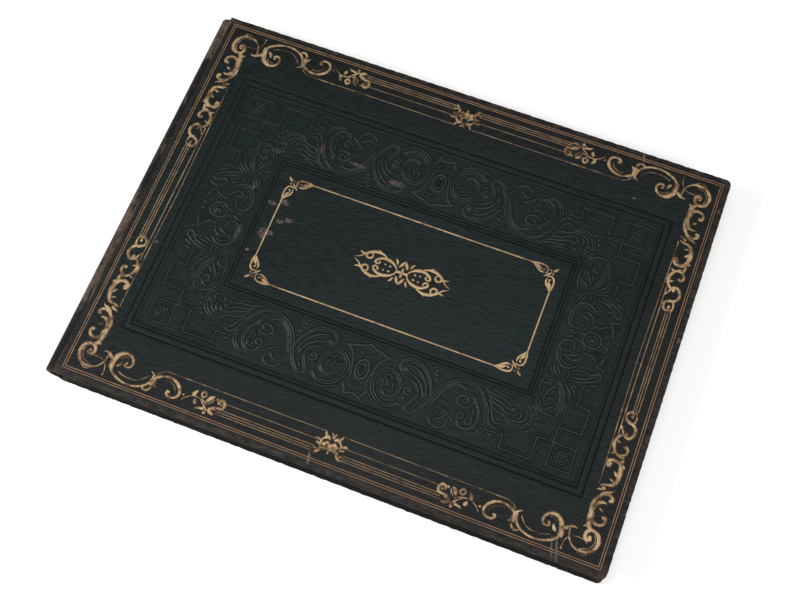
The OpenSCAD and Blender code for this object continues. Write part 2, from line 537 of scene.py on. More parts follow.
@dataclass(frozen=True)
class Stroke:
    """One pass of a finishing tool, in millimetres from the corner of the gilt frame."""

    track: tuple[float, ...]
    widths: Widths = (0.5,)

    @property
    def points(self) -> np.ndarray:
        """The given points, as rows."""
        return np.array(self.track, float).reshape(-1, 2)

    def through(self, points: np.ndarray) -> Stroke:
        """The same stroke through other points."""
        return Stroke(tuple(points.reshape(-1).tolist()), self.widths)

    def line(self, step: float) -> Line:
        """Points along the stroke, through the given ones.

        Args:
            step: Longest distance between two points.

        Returns:
            The points, and the width at each.
        """
        line = self.points
        if len(line) > 2 or len(set(self.widths)) > 1:
            padded = np.vstack([2 * line[0] - line[1], line, 2 * line[-1] - line[-2]])
            parts = []
            for a, b, c, d in zip(padded, padded[1:], padded[2:], padded[3:]):
                count = max(2, math.ceil(float(np.linalg.norm(c - b)) / step))
                t = np.linspace(0, 1, count, endpoint=False)[:, None]
                square, cube = 2 * a - 5 * b + 4 * c - d, 3 * b - a - 3 * c + d
                parts.append(0.5 * (2 * b + (c - a) * t + square * t**2 + cube * t**3))
            line = np.vstack([*parts, line[-1:]])
        run = np.concatenate([[0], np.cumsum(np.linalg.norm(np.diff(line, axis=0), axis=1))])
        stops = np.linspace(0, run[-1], len(self.widths))
        return line, np.interp(run, stops, self.widths)

    def beside(self, gap: float, width: float, step: float) -> list[Line]:
        """Two thin lines, one on each side of the stroke.

        Args:
            gap: Share of the stroke's width between the middles of the two lines.
            width: Width of each line.
            step: Longest distance between two points.

        Returns:
            Points and widths of both lines.
        """
        line, widths = self.line(step)
        along = np.gradient(line, axis=0)
        along /= np.maximum(np.linalg.norm(along, axis=1, keepdims=True), 1e-9)
        across = np.stack([-along[:, 1], along[:, 0]], axis=1)
        thin = np.full(len(line), width)
        return [(line + side * across * widths[:, None] * gap / 2, thin) for side in (-1, 1)]


Strokes = tuple[Stroke, ...]


def dot(x: float, y: float, r: float) -> Stroke:
    """A round touch of the tool."""
    return Stroke((x - r, y, x - 0.5 * r, y, x, y, x + 0.5 * r, y, x + r, y),
                  (0.4 * r, 1.75 * r, 2 * r, 1.75 * r, 0.4 * r))


def petal(x0: float, y0: float, x1: float, y1: float, width: float, bow: float = 0.0) -> Stroke:
    """A leaf or petal from its base to its tip.

    Args:
        x0: Base, along the cover.
        y0: Base, across it.
        x1: Tip, along the cover.
        y1: Tip, across it.
        width: Greatest width.
        bow: How far its middle stands off the straight line.

    Returns:
        The stroke.
    """
    length = max(math.hypot(x1 - x0, y1 - y0), 1e-6)
    mx = (x0 + x1) / 2 - bow * (y1 - y0) / length
    my = (y0 + y1) / 2 + bow * (x1 - x0) / length
    return Stroke((x0, y0, mx, my, x1, y1), (0.45 * width, width, 0.8 * width, 0.12))


def blossom(x: float, y: float, radius: float, petal_r: float) -> list[Stroke]:
    """Five round petals about an open middle.

    Args:
        x: The middle, along the cover.
        y: The middle, across it.
        radius: Distance from it to the middles of the petals.
        petal_r: Radius of a petal.

    Returns:
        A stroke for each petal, and one for the middle.
    """
    turns = [math.radians(72 * k + 20) for k in range(5)]
    petals = [dot(x + radius * math.cos(a), y + radius * math.sin(a), petal_r) for a in turns]
    return [*petals, dot(x, y, 0.45 * petal_r)]


def spiral(
    x: float, y: float, radii: tuple[float, float], turn: tuple[float, float], widths: Widths
) -> Stroke:
    """A volute round a middle.

    Args:
        x: Its middle, along the cover.
        y: Its middle, across it.
        radii: Radius at the start and at the end.
        turn: Angle at the start and at the end, in degrees.
        widths: Widths along it.

    Returns:
        The stroke.
    """
    count = max(3, round(abs(turn[1] - turn[0]) / 30))
    track: list[float] = []
    for k in range(count + 1):
        share = k / count
        angle = math.radians(turn[0] + share * (turn[1] - turn[0]))
        radius = radii[0] + share * (radii[1] - radii[0])
        track += [x + radius * math.cos(angle), y + radius * math.sin(angle)]
    return Stroke(tuple(track), widths)


@dataclass(frozen=True)
class GiltFrame:
    """One quarter of the gilt frame round the cover, from its corner to the middles of two sides."""

    chain_weight: float = 1.25
    # The scroll in the corner and the arch that springs from it.
    corner: Strokes = (
        Stroke((18.2, 13, 18.1, 11, 17.3, 8.5, 15.7, 6.3, 13.5, 5, 11.2, 4.6, 8.8, 4.9, 6.6, 6, 5, 7.8,
            4.2, 10, 4.2, 12, 5, 14, 6.6, 15.2, 8.6, 15.5, 10.2, 14.8, 11, 13.2, 10.8, 11.6, 9.8, 10.8,
            8.6, 10.9, 8, 11.8), (0.8, 0.9, 1.3, 1.7, 1.9, 1.7, 1.5)),
        dot(8.7, 12.2, 0.9), Stroke((10.5, 6, 8, 6.9, 6.5, 8.6, 5.8, 10.6, 6, 12.5, 6.9, 13.8), (0.35,)),
        dot(11.2, 5.2, 0.75), Stroke((7.5, 4.3, 9.5, 3.2, 11.5, 3.3, 12.8, 4.4), (0.35,)),
        Stroke((15.2, 14, 17, 14.4, 19.3, 13.6, 21, 12.2, 22.3, 10.8), (0.3, 1.4, 0.8, 1.5)),
        petal(18.4, 13.6, 20.6, 11.6, 1.1),
        Stroke((8.9, 9, 10.3, 10.1, 12.5, 10.5, 15, 10.4, 17, 9.6, 18.7, 8, 19.5, 5.6, 19.7, 3), (0.32,)),
        dot(19.7, 3, 0.45),
        Stroke((21.6, 9.5, 22.5, 7, 24.5, 5.2, 27, 3.9, 30, 3, 33, 2.7, 36, 3, 39, 4, 41.2, 5.5, 42.6, 7.6,
            43.2, 10, 43.3, 12), (1.5, 1.3, 1.1, 1.1, 1.2, 0.9)),
        Stroke((26, 7.2, 28.5, 6.2, 32, 5.7, 35.5, 5.9, 38, 7, 39.8, 8.8, 41, 10.4), (0.35,)),
        Stroke((22, 7.5, 21.7, 10, 22.1, 12.5, 23.2, 14.8, 25, 16.3, 27, 16.9, 29, 16.4, 30.6, 15.1,
            31.4, 13.2, 31, 11.4, 29.8, 10.5, 28.4, 10.6, 27.6, 11.6), (2.4, 2.7, 2.4, 1.7, 1.4, 1.3, 1.2)),
        dot(28.4, 12.2, 0.8), petal(24.2, 9.2, 26.2, 12.6, 1.7, -0.4),
        Stroke((24.9, 13.6, 26.6, 15, 28.6, 15), (0.35,)),
    )
    # The calyx, the long scroll and the sprig along the head or the tail.
    run: Strokes = (
        Stroke((43.8, 6.2, 44.2, 9, 44.6, 11.4), (2.4, 3, 2.2, 1.2)),
        Stroke((40.2, 4.4, 40.8, 3.5, 42.4, 3.2, 43.8, 4.2, 44.3, 5.6), (0.9, 1.4, 1)),
        petal(44.6, 7.6, 46.6, 5.9, 1.1), Stroke((44, 11.3, 42.6, 12.3, 41.3, 12.9), (1.3, 0.9, 0.2)),
        petal(44.4, 10.6, 46.9, 13.2, 1),
        Stroke((44.5, 10.5, 46.5, 11.8, 49, 13, 51.8, 13.2, 54.5, 12.4, 56.8, 10.8, 58.2, 8.6, 58.3, 6.6,
            57.2, 4.9, 55.3, 4.2, 53.4, 4.5, 52.4, 5.8, 53, 7), (1.1, 1.2, 1.4, 1.6, 1.5, 1.3, 1.3)),
        dot(53.3, 6.4, 0.75), Stroke((49.5, 11.4, 52.5, 11.2, 55, 9.6, 56.4, 7.4), (0.3,)),
        Stroke((44.6, 12.5, 46.2, 14.2, 48.5, 15.3), (0.5,)),
        Stroke((60.4, 5, 61.5, 6.4, 63, 7.7, 64.5, 8.6, 66, 9.1, 68, 8.9, 70, 8.6, 72, 7.8, 73, 7),
            (0.4, 0.5, 0.7, 0.6)),
        dot(60.6, 7.7, 0.6), Stroke((69.5, 8.3, 71, 7, 72.3, 5.9, 73.3, 5, 73.9, 3.8), (0.5, 0.8, 1.1)),
        petal(64.9, 8.6, 66.7, 12.4, 1.9, 0.3), petal(67.7, 5.4, 66.5, 8, 2.1),
        Stroke((70, 9.7, 71.3, 11.2, 70, 12.8, 68.7, 11.2, 70, 9.7), (1.1,)),
        petal(72.6, 4.3, 68, 3.4, 1.3, -0.5), petal(72.6, 5.4, 69, 4.6, 1.4, 0.7), dot(73.2, 3, 0.9),
        petal(74.4, 5.2, 78.7, 3.5, 1.9, -0.5), petal(74.6, 5.7, 78.4, 5.9, 1.5, 0.4),
        petal(72.6, 8.4, 75.4, 12.2, 2.3, 0.5), Stroke((73.5, 7.7, 74.9, 8.9, 75.7, 10.9), (0.4, 0.7, 0.5)),
        Stroke((75.8, 6.6, 77.4, 7.1, 79.2, 7.2), (0.9, 1.5, 1.3)),
        Stroke((78.6, 7.4, 80.4, 7.4, 81.3, 8.9, 80.9, 10.6, 79.4, 11.5, 78.2, 10.4, 78.6, 9.2),
            (1.4, 1.7, 1.7, 1.5)),
        dot(79.6, 9.3, 0.6), dot(77.2, 11.2, 0.75),
    )
    # Half of the flowers at the middle of the head or the tail.
    rose: Strokes = (
        petal(130.8, 8.9, 128.3, 9.3, 1.3), petal(130.8, 10.4, 127.4, 11.2, 1.7, -0.4),
        Stroke((131.2, 7.6, 130.9, 9.6, 131.2, 11.4, 132.3, 12.9), (0.8, 1, 0.9)),
        petal(132.1, 7.7, 129.3, 3.6, 2.1, 0.2), petal(130.2, 6, 128.2, 6.5, 1),
        *blossom(134.2, 8.9, 1.62, 1), Stroke((131.9, 12.2, 133.2, 13.3, 135, 12.4), (1.3, 2, 1.2)),
        petal(132.6, 13.4, 131.5, 16, 1.2, 0.2), petal(135.9, 13, 134.5, 16, 1.2, -0.3),
        petal(135.9, 6.9, 135.9, 4.9, 1.1),
    )
    # The scrolls up the spine side or the fore-edge side.
    chain: Strokes = (
        Stroke((10.2, 15.8, 10.8, 17.5, 11, 19.5, 11.3, 22, 11.3, 24), (1.2, 2.2, 2.5, 2.3)),
        petal(10.8, 17.2, 8.8, 15.9, 1.2), petal(11.2, 17.4, 13, 16.2, 1.1),
        Stroke((10, 19.8, 8.2, 19, 6.2, 19, 4.7, 20.2, 4.2, 21.8, 5, 23, 6.2, 22.6), (1.4, 1.3, 1.2, 1.4)),
        Stroke((11.2, 19, 11.6, 22, 11.3, 25, 10.6, 27.5, 9.4, 29.2, 7.6, 29.8, 6, 29.6),
            (2.2, 1.8, 1.5, 1.7, 0.4)),
        Stroke((12.3, 24, 12.2, 27, 11.7, 29.5, 10.6, 31.5, 9, 33.2, 7, 33.9, 5, 33.6, 4, 32.4, 4.4, 31),
            (1.2, 1.5, 1.2, 1.2, 1.4)),
        dot(5, 31.4, 0.7),
        Stroke((4.3, 36.8, 5.5, 35.6, 7.5, 35, 9.5, 33.6, 10.6, 31.5), (0.3, 1.1, 0.8, 0.6)),
        petal(8.6, 26.6, 6.4, 25.4, 1),
        Stroke((11.5, 37.2, 9.8, 38, 7.5, 38.3, 5.6, 39.6, 4.6, 42, 4.4, 45, 4.9, 48, 6.2, 50, 8.5, 50.6,
            10.6, 50.2, 11.6, 48.8, 11, 47.3, 9.8, 47.6), (0.6, 1.3, 1.7, 1.9, 1.6, 1.3, 1.3)),
        dot(10.1, 48.4, 0.75), petal(5.6, 43.2, 7.7, 45.6, 1.2, 0.3), petal(6.2, 40.6, 8.6, 41.6, 1),
        dot(9.6, 36.3, 0.95), petal(9.8, 35.6, 12.4, 34.9, 1), petal(3.2, 48.2, 5, 50.2, 1),
        Stroke((5, 50.5, 5.3, 53, 6.4, 54.3), (1.3, 1.1, 0.8)),
        Stroke((6.2, 52.6, 8, 53.4, 10, 55, 11.2, 57.5, 11.3, 60, 10.3, 62.3, 9, 63.6),
            (0.7, 1.1, 1.5, 1.3, 0.9)),
        Stroke((8, 53.6, 6, 54, 4.6, 55.4, 4.3, 57.2, 5.3, 58.3, 6.6, 57.6), (1, 1.1, 1.3)),
        petal(9.6, 54.4, 11.8, 53.2, 1), petal(10.8, 60.4, 8.6, 59.4, 1),
        Stroke((9.5, 66, 8.4, 63.7, 6.2, 62.6, 4.6, 63.8, 3.6, 66, 4, 68.3, 5.6, 69.9, 7.4, 70.3,
            8.6, 71.3), (0.8, 1.1, 1.4, 1.2, 1)),
        dot(7.2, 64.3, 0.85),
        Stroke((7, 69.8, 9.2, 71.2, 9.9, 73.2, 9.2, 75, 7.6, 75.8, 6.6, 74.6), (0.9, 1.1, 1.1)),
        dot(7.1, 73.6, 0.75), Stroke((5.4, 70.6, 4.9, 73.6, 6, 76.4), (0.9, 0.6)),
        petal(9.8, 66.2, 11.2, 68.2, 0.9),
    )

    def lines(self) -> list[Stroke]:
        """Ruled lines."""
        w, h = SIZES.gilt_half_w, SIZES.gilt_half_h
        return [
            Stroke((-0.5, -0.3, w, -0.3), (0.34,)), Stroke((-0.3, -0.5, -0.3, h), (0.34,)),
            Stroke((0.65, 0.85, w, 0.85), (0.38,)), Stroke((0.85, 0.65, 0.85, h), (0.38,)),
            Stroke((78.4, 4.4, 129.6, 4.5), (0.4,)), Stroke((79, 5.6, 129, 5.7), (0.4,)),
            Stroke((80.4, 6.9, 129, 7), (0.4,)), Stroke((81, 10.5, 129.4, 10.5), (0.36,)),
            Stroke((48.5, 15.5, 131.8, 15.6), (0.38,)), Stroke((5.1, 76, 5.1, h), (0.42,)),
            Stroke((6.4, 76.4, 6.4, h), (0.42,)), Stroke((7.6, 76.2, 7.6, h), (0.42,)),
            Stroke((11, 63.4, 11, h), (0.46,)), Stroke((12.3, 37.8, 13.3, h), (0.38,)),
        ]

    def strokes(self) -> list[Stroke]:
        """Every stroke of the quarter."""
        chain = [Stroke(stroke.track, tuple(self.chain_weight * width for width in stroke.widths))
                 for stroke in self.chain]
        return [*self.lines(), *self.corner, *self.run, *self.rose, *chain]


@dataclass(frozen=True)
class GiltPanel:
    """One quarter of the gilt line round the middle panel, with its corner ornament."""

    rule: float = 0.8
    # The panel's corner stands nearer to the middle than the frame's, by these along and across.
    slide: tuple[float, float] = (10.2, 10.4)
    # The ornament on one side of the panel's diagonal. It is the same on the other side.
    one: Strokes = (
        Stroke((76.8, 74.4, 74.4, 73.9, 72, 73.8, 70, 74.1, 68.7, 75.1, 68.4, 76.6, 69.1, 78),
            (0.6, 1, 1.1, 1, 0.9, 0.5)),
        petal(72, 76.1, 76.4, 74.9, 2.2, -0.2),
        Stroke((69.9, 77.7, 71.5, 77.8, 73.2, 77, 75, 75.8), (0.5, 1.1, 1, 0.4)), dot(70.4, 76.1, 0.6),
        Stroke((70.7, 76.3, 71.5, 76.5, 72.2, 76.2), (0.5, 0.6)),
        Stroke((68, 77.4, 68.4, 78.8, 69.4, 79.9), (0.4, 0.6, 0.3)), dot(66.9, 75.5, 0.5),
    )

    def strokes(self) -> list[Stroke]:
        """Every stroke of the quarter."""
        w, h = SIZES.gilt_half_w, SIZES.gilt_half_h
        return [
            Stroke((76.0, 74.4, w, 74.4), (self.rule,)),
            Stroke((64.2, 86.6, 64.2, h), (self.rule,)),
            petal(65.7, 76.1, 63.2, 73.7, 1.6),
            petal(66.2, 76.6, 68.2, 78.8, 0.9),
            *self.one,
            *(self.across(stroke) for stroke in self.one),
        ]

    def across(self, stroke: Stroke) -> Stroke:
        """The stroke mirrored in the diagonal through the panel's corner."""
        x, y = stroke.points.T
        return stroke.through(np.stack([y - self.slide[0], x + self.slide[1]], axis=1))


@dataclass(frozen=True)
class Flourish:
    """One quarter of a generic scrolled flourish, in the middle of the panel."""

    # Its strokes, in millimetres from the cover's middle.
    drawn: Strokes = (
        Stroke((-2.6, -0.2, -4.2, -2.4, -7, -4, -10.4, -4.4, -13.4, -3.2, -14.6, -1.4, -13.2, -0.7,
            -12, -1.7, -12.6, -2.5), (0.5, 1.1, 1.8, 1.7, 1.3, 1, 0.9)),
        Stroke((-8.6, -4.6, -12.2, -6.3, -16.4, -6.2, -20, -4.2, -22.6, -1.6, -25.2, -0.5),
            (0.4, 1.2, 1.9, 1.5, 0.8, 0.3)),
        Stroke((-17.6, -5.6, -16.6, -3.4, -18, -2, -19.8, -2.6, -19.4, -3.8), (0.8, 1.2, 1)),
        petal(-2.2, -2.6, 0, -6.6, 1.7, 0), petal(-3.4, -3.6, -5.2, -6.6, 1.3, 0.3),
        petal(-12, -6.2, -14.8, -8, 1.1, -0.3), petal(-20.6, -3.8, -23.8, -4.4, 1.1, -0.3),
        petal(-0.2, -0.1, -3.4, -0.1, 1.6), petal(0, -0.2, 0, -2.9, 1.6), dot(-6.6, -1.4, 0.65),
        dot(-9.2, -1.6, 0.5),
    )

    def strokes(self) -> list[Stroke]:
        """Every stroke of the quarter, moved from the cover's middle to the frame's corner."""
        middle = (SIZES.gilt_half_w, SIZES.gilt_half_h)
        return [stroke.through(stroke.points + middle) for stroke in self.drawn]


@dataclass(frozen=True)
class BlindScrolls:
    """One quarter of the raised scrollwork between the two blind frames."""

    # Widths along a leaf, a vein and a broad leaf.
    leaf: Widths = (0.6, 1.2, 0.6)
    thin: Widths = (0.5, 0.9, 0.5)
    full: Widths = (0.6, 1.15, 0.7)
    # Stems that rise as a pair of ridges.
    bold: Strokes = (
        Stroke((63, 50.6, 60, 49.8, 57, 49.7, 54.5, 50.6, 52.4, 52.6, 51.2, 55, 50.4, 58, 51, 61,
            53.4, 62.6), (1, 1.9, 2.1, 1.9, 1.4)),
        Stroke((80, 38.2, 76.6, 38.3, 73.6, 40, 71.8, 43, 71.4, 47, 72.4, 51.6, 74, 54.6, 76.4, 57.8),
            (1.2, 1.8, 2.2, 2.2, 2, 1.2)),
        Stroke((84.6, 43, 83.6, 40.6, 81, 39.6, 78, 40.4, 76, 43, 75.6, 46.6, 76.6, 50.6, 79.2, 54.4,
            80.6, 56), (0.9, 1.4, 1.4, 1)),
        Stroke((76.8, 58.6, 79.6, 61, 84, 62.2, 89, 61.6, 93.4, 59.4, 96.8, 56, 98.8, 52, 100.2, 47.6,
            102, 43.6, 104.4, 40.2, 107, 38, 109.4, 38.4, 110, 40.4, 108.2, 43.4, 106.6, 47.4),
            (1.2, 1.9, 2.1, 2, 1.8, 1.6, 1.2)),
        Stroke((85.4, 58.4, 88.6, 59.4, 91.6, 58.6, 94.4, 56, 96.2, 52.8, 97.6, 49, 99, 45.6),
            (0.8, 1.2, 1.3, 0.8)),
        Stroke((113.4, 40.8, 116.6, 38.2, 120.6, 37.6, 124.4, 39, 127.2, 42, 128.8, 46, 128.8, 50,
            126.8, 53, 123.6, 54.8, 120, 54.2, 117, 51.8, 115.6, 48.6, 116, 45, 118.2, 42.4, 121.2, 42,
            123.4, 43.6), (1, 2, 2.2, 2.2, 2.1, 2, 1.8, 1.5, 1.2)),
        Stroke((100.2, 47.5, 101, 52, 103.2, 56.4, 106.4, 60.2, 110.4, 62.8, 115, 63.2, 118.4, 61.6,
            119.4, 58.8, 117.4, 56.2), (0.9, 1.5, 1.7, 1.5, 1.1)),
        Stroke((41.4, 61.6, 40.6, 64.8, 40.4, 68, 41.2, 71.6, 43.4, 75, 45, 78), (1, 1.6, 1.6, 1.2)),
    )
    # Leaves and pearls of the run along the head or the tail.
    run_leaves: Strokes = (
        Stroke((61.6, 52.2, 59, 51.8, 56.6, 52.2, 54.6, 54.2, 54, 56.8), (0.6, 1.1, 1.1, 0.7)),
        petal(58, 52.8, 56.2, 58, 1.3, 0.6), petal(60.4, 53.4, 58.8, 57.4, 1.2, 0.5),
        spiral(53.4, 58.4, (1.9, 0.9), (-160, 230), (0.8,)), dot(51.7, 49.4, 0.9), dot(49.8, 51.4, 0.8),
        dot(48.9, 54, 0.8), dot(48.7, 56.8, 0.7), petal(53.2, 60.4, 56, 61.8, 1.5), dot(61, 57.2, 1),
        dot(59.5, 60.2, 0.9), Stroke((65, 46.6, 66.8, 45.3, 69.2, 46, 70.8, 48.4, 71.6, 51.6), leaf),
        Stroke((64.2, 48.6, 66.6, 47.8, 68.8, 49.2, 70, 52, 72, 54.8), leaf),
        Stroke((58.6, 50.6, 62, 51.4, 65, 53, 68.4, 53.4, 71.2, 55.2, 73.4, 58), (0.5, 1.2, 0.6)),
        Stroke((60.2, 54.2, 64, 54.2, 67, 56.2, 71, 57, 74.4, 59.8), (0.6, 1.3, 0.6)),
        Stroke((60.4, 57, 64.2, 56.8, 68, 58.4, 72.2, 59.2, 76.4, 61.6), leaf),
        Stroke((60.2, 59.8, 64.2, 59.5, 68.2, 60.8, 72.4, 60.9, 76.4, 62.4, 80.6, 62.9), leaf),
        Stroke((62, 62.2, 66.2, 61.8, 70.2, 62.6, 74.4, 63.8), thin),
        Stroke((66.2, 42, 68, 41.2, 69.8, 41.6), thin),
        Stroke((78.4, 46.4, 77.8, 44.4, 78.6, 42.6, 80.4, 42.4, 81.2, 44.2), (0.7, 0.9, 0.8)),
        petal(78.4, 47.6, 79.6, 52, 1, 0.4), petal(80.4, 46.4, 80.4, 50, 0.9, -0.3),
        spiral(83.6, 45.4, (1.9, 1.2), (-80, 300), (0.9,)), petal(78.9, 54.8, 80.4, 56.6, 1.5),
        Stroke((81.4, 50.8, 84, 49.9, 87, 50.8, 88, 53, 86.4, 55, 83.6, 55.2, 82.4, 53.6, 83.8, 52.2),
            (0.8, 1.2, 1.2, 0.9)),
        petal(84.6, 51.8, 86, 53.6, 0.8), petal(80.6, 52.6, 79.4, 56, 0.9),
        Stroke((89, 41.6, 89, 38.4, 91, 36.4, 93.6, 36, 96.2, 37, 97.6, 38.8), (0.8, 1.2, 1)),
        Stroke((90.8, 42.6, 92.8, 40.4, 95, 39.5), (0.7, 1.1, 0.7)), petal(88, 43, 93.4, 46.4, 1.1, -0.3),
        petal(85.4, 41, 89.6, 43, 1), petal(93.2, 42.4, 96.8, 43.6, 0.9), dot(100.5, 58.1, 0.95),
        dot(101.2, 60.3, 0.8), dot(101.5, 62.4, 0.8), dot(102.4, 64.1, 0.7), dot(103.9, 48.8, 0.95),
        petal(101.2, 45.2, 103.8, 41.8, 1), petal(102.6, 50.4, 104.8, 44.6, 0.9, 0.3),
        petal(105.6, 43.2, 107.4, 40.2, 0.9), spiral(111.2, 48, (2.3, 1.2), (-120, 190), (1,)),
        dot(111, 48, 0.8),
        Stroke((102.2, 47, 103, 51, 105.2, 55, 108.6, 58.4, 112.6, 60.2, 116.2, 59.8), (0.6, 1.2, 0.7)),
        Stroke((104.4, 46.6, 104.8, 50, 107, 53.4, 110.6, 55.8, 114.6, 57), (0.6, 1.2, 0.7)),
        Stroke((106.2, 48, 107.6, 51, 110.4, 53, 113.6, 53.6), (0.6, 1.1, 0.6)), dot(116.4, 57.8, 1.5),
        Stroke((109, 60.6, 112.4, 61.8, 115.6, 61.4), thin), petal(118.6, 46.2, 118.8, 50.6, 1, -0.5),
        petal(120.8, 46.4, 122.6, 51.6, 1.1, -0.6), petal(123, 47.4, 125.8, 50.8, 1, -0.5),
        petal(119.6, 50.8, 123.2, 53, 0.9),
        Stroke((112, 37, 116, 35.6, 121, 35.5, 126, 37.4, 129.4, 40.8), thin),
        petal(111.4, 42.8, 113.8, 46, 0.9), dot(113.2, 39.8, 0.8),
    )
    # Half of the cartouche in the middle of the head or the tail.
    middle: Strokes = (
        Stroke((136.4, 37.4, 134, 37, 131.8, 35.6), (1.2, 1.2, 0.9)),
        Stroke((131.8, 35.8, 131.4, 38.2, 129.6, 40.6), (1.2, 1)),
        Stroke((131.7, 44.6, 131, 48, 130.3, 52, 129.2, 56, 127, 58.6, 124.8, 59.6), (1.1, 1.3, 0.9)),
        Stroke((125, 59.8, 127.4, 60.4, 130, 61.2, 132.6, 61.8, 136.2, 63.6), (1.1, 1.3, 1)),
        Stroke((135.9, 44.9, 133.6, 46.4, 132.7, 50, 133.6, 53.8, 135.9, 55.3), (1.3,)),
        Stroke((135.9, 46.9, 134.7, 48, 134.3, 50, 134.7, 52.2, 135.9, 53.3), (0.7,)),
        Stroke((135.9, 48.8, 135.9, 51.4), (2.2,)), petal(134.6, 57, 131.6, 59.2, 0.9),
        petal(133.6, 42.6, 132.6, 39.4, 0.9),
    )
    # Leaves, rings and bosses beside the spine or the fore-edge.
    side_leaves: Strokes = (
        Stroke((41, 61.6, 43, 60.4, 47, 60.6, 50, 62, 52, 64, 52.8, 66.6), full),
        Stroke((47.6, 61.9, 49.6, 63.4, 50.6, 65.2, 52.2, 67.4), thin),
        Stroke((43.2, 65.6, 44.8, 64.4, 46.6, 63.2, 48.2, 62.8), thin),
        Stroke((38.2, 63.2, 37.6, 65.4, 38.9, 67.6, 38, 69.6, 36.6, 71.4), thin),
        Stroke((39.6, 62.2, 38.9, 64.4, 39.8, 66.6, 39.4, 69.2), thin),
        Stroke((43, 62.4, 42.2, 65, 42, 68.4, 42.6, 71.6, 44, 74), full),
        Stroke((46.4, 64.8, 47.6, 66.6, 46.8, 68.4, 44.9, 68.6, 44.3, 67.2), full),
        Stroke((49.2, 66.8, 49.4, 69.8, 48, 72.6, 46.4, 75, 46.2, 77.8), full),
        Stroke((47.2, 70, 46, 72.4, 44.6, 73.6), thin), Stroke((50.8, 67.6, 50.9, 70.2, 49.6, 72.8), thin),
        Stroke((47.8, 79.6, 47.9, 77, 49.6, 75.4, 51.6, 75.4, 51.3, 73.8), full),
        Stroke((52.6, 71, 53, 74.4, 52.5, 77.6, 51.4, 80.4), full), dot(49.2, 77.6, 0.6),
        Stroke((43.9, 78.4, 42.6, 75.8, 40.6, 73, 39.8, 70.6), thin),
        Stroke((42.9, 78.9, 40.6, 76.6, 38.4, 74.2, 37.9, 71.4), full),
        Stroke((41.9, 79.4, 39, 77.6, 36.6, 75.4, 35.6, 72.6), thin),
        Stroke((41.2, 79.9, 38.4, 79, 36, 77), thin), Stroke((45, 78.6, 44.9, 76.8, 44.3, 75.4), thin),
        Stroke((40, 80.8, 36.6, 80.9, 33.2, 82, 29.8, 83.6, 27.2, 85.8), full),
        Stroke((40.4, 82.3, 36.6, 82.7, 33.2, 83.9, 30.4, 85.6), full),
        Stroke((40.8, 83.8, 37.6, 84.6, 34.8, 85.4), thin),
        Stroke((41, 85.4, 38.4, 86.4, 36.2, 87.2), thin),
        Stroke((27, 84.4, 26.7, 86.8, 28.3, 88.3, 30, 87.2, 32, 86.2, 34.4, 87.4), full),
        petal(32.6, 78.3, 27.8, 79.6, 1), petal(31.4, 80.6, 26.2, 82.8, 1.1, -0.3),
        Stroke((42.4, 80.4, 41.8, 83, 42.6, 85.6), thin), Stroke((44.2, 80.6, 44, 83.2, 44.8, 85), thin),
        Stroke((46.8, 80.4, 48.8, 82.8, 50.2, 85.8), full),
        Stroke((45.8, 81.6, 47.6, 84.2, 48.9, 86.8), thin),
        Stroke((48.6, 80.4, 50.4, 82.6, 51.6, 85), thin),
        Stroke((39.6, 88.4, 41.8, 86.6, 44.8, 85.8, 47.6, 86.8, 49.6, 89.2, 50.7, 92, 51, 95, 50.2, 98,
            47.8, 99.8, 44.8, 99.6), (0.7, 1.2, 1.3, 1.4, 1.2, 0.8)),
        Stroke((44.4, 88, 46.8, 88.6, 48.6, 90.4, 49.4, 93, 49.5, 95.6, 48.4, 97.8, 46.2, 98.6), thin),
        Stroke((42, 88.6, 44, 87.4, 46, 87.6), thin), dot(47.4, 91.8, 0.7),
        Stroke((38.7, 96.2, 38.9, 93.2, 41, 91, 43.4, 90.4, 45.2, 91.4), full),
        Stroke((38.8, 97.4, 39.5, 99.8, 41.2, 101.3, 44.2, 101.8), full),
        Stroke((41, 95.4, 42, 93.4, 44, 92.8, 45.8, 92.2), full),
        Stroke((42.8, 95.2, 43.7, 97.4, 44.5, 99.6), full),
        Stroke((31.2, 93.2, 33, 95, 36, 96.2, 38.6, 95.8), full),
        Stroke((31, 91.3, 29.2, 93.8, 28.1, 97, 26.8, 99.6), full),
        Stroke((26.2, 90, 28.4, 91, 31, 91.3), full),
        *[Stroke((26.3 + k, 92.2, 27.9 + k * 0.5, 96.4), (0.4,)) for k in (0, 1.1, 2.2)],
        *[Stroke((26.3, 93.0 + k, 29.4 - 0.5 * k, 92.6 + k), (0.4,)) for k in (0, 1.1, 2.2)],
        *[Stroke((30.4 + k, 94.4 + 0.3 * k, 30.0 + k, 98.2), (0.4,)) for k in (0, 1.2, 2.4, 3.6, 4.8)],
        *[Stroke((30.2, 95.2 + k, 35.6, 96.6 + k), (0.4,)) for k in (0, 1.1, 2.2)],
        Stroke((32, 103.4, 32.7, 101.4, 34.6, 99.8, 37.4, 99.4, 39.8, 100.6, 41.2, 103.4), (0.9,)),
        Stroke((34, 103.4, 34.6, 101.9, 36.8, 101, 38.8, 101.9, 39.4, 103.4), (0.7,)),
        Stroke((35.6, 103.4, 38.2, 103.4), (2.2,)), dot(28.6, 101.8, 0.9),
        petal(48.8, 101.2, 44.6, 103.2, 1.3),
    )


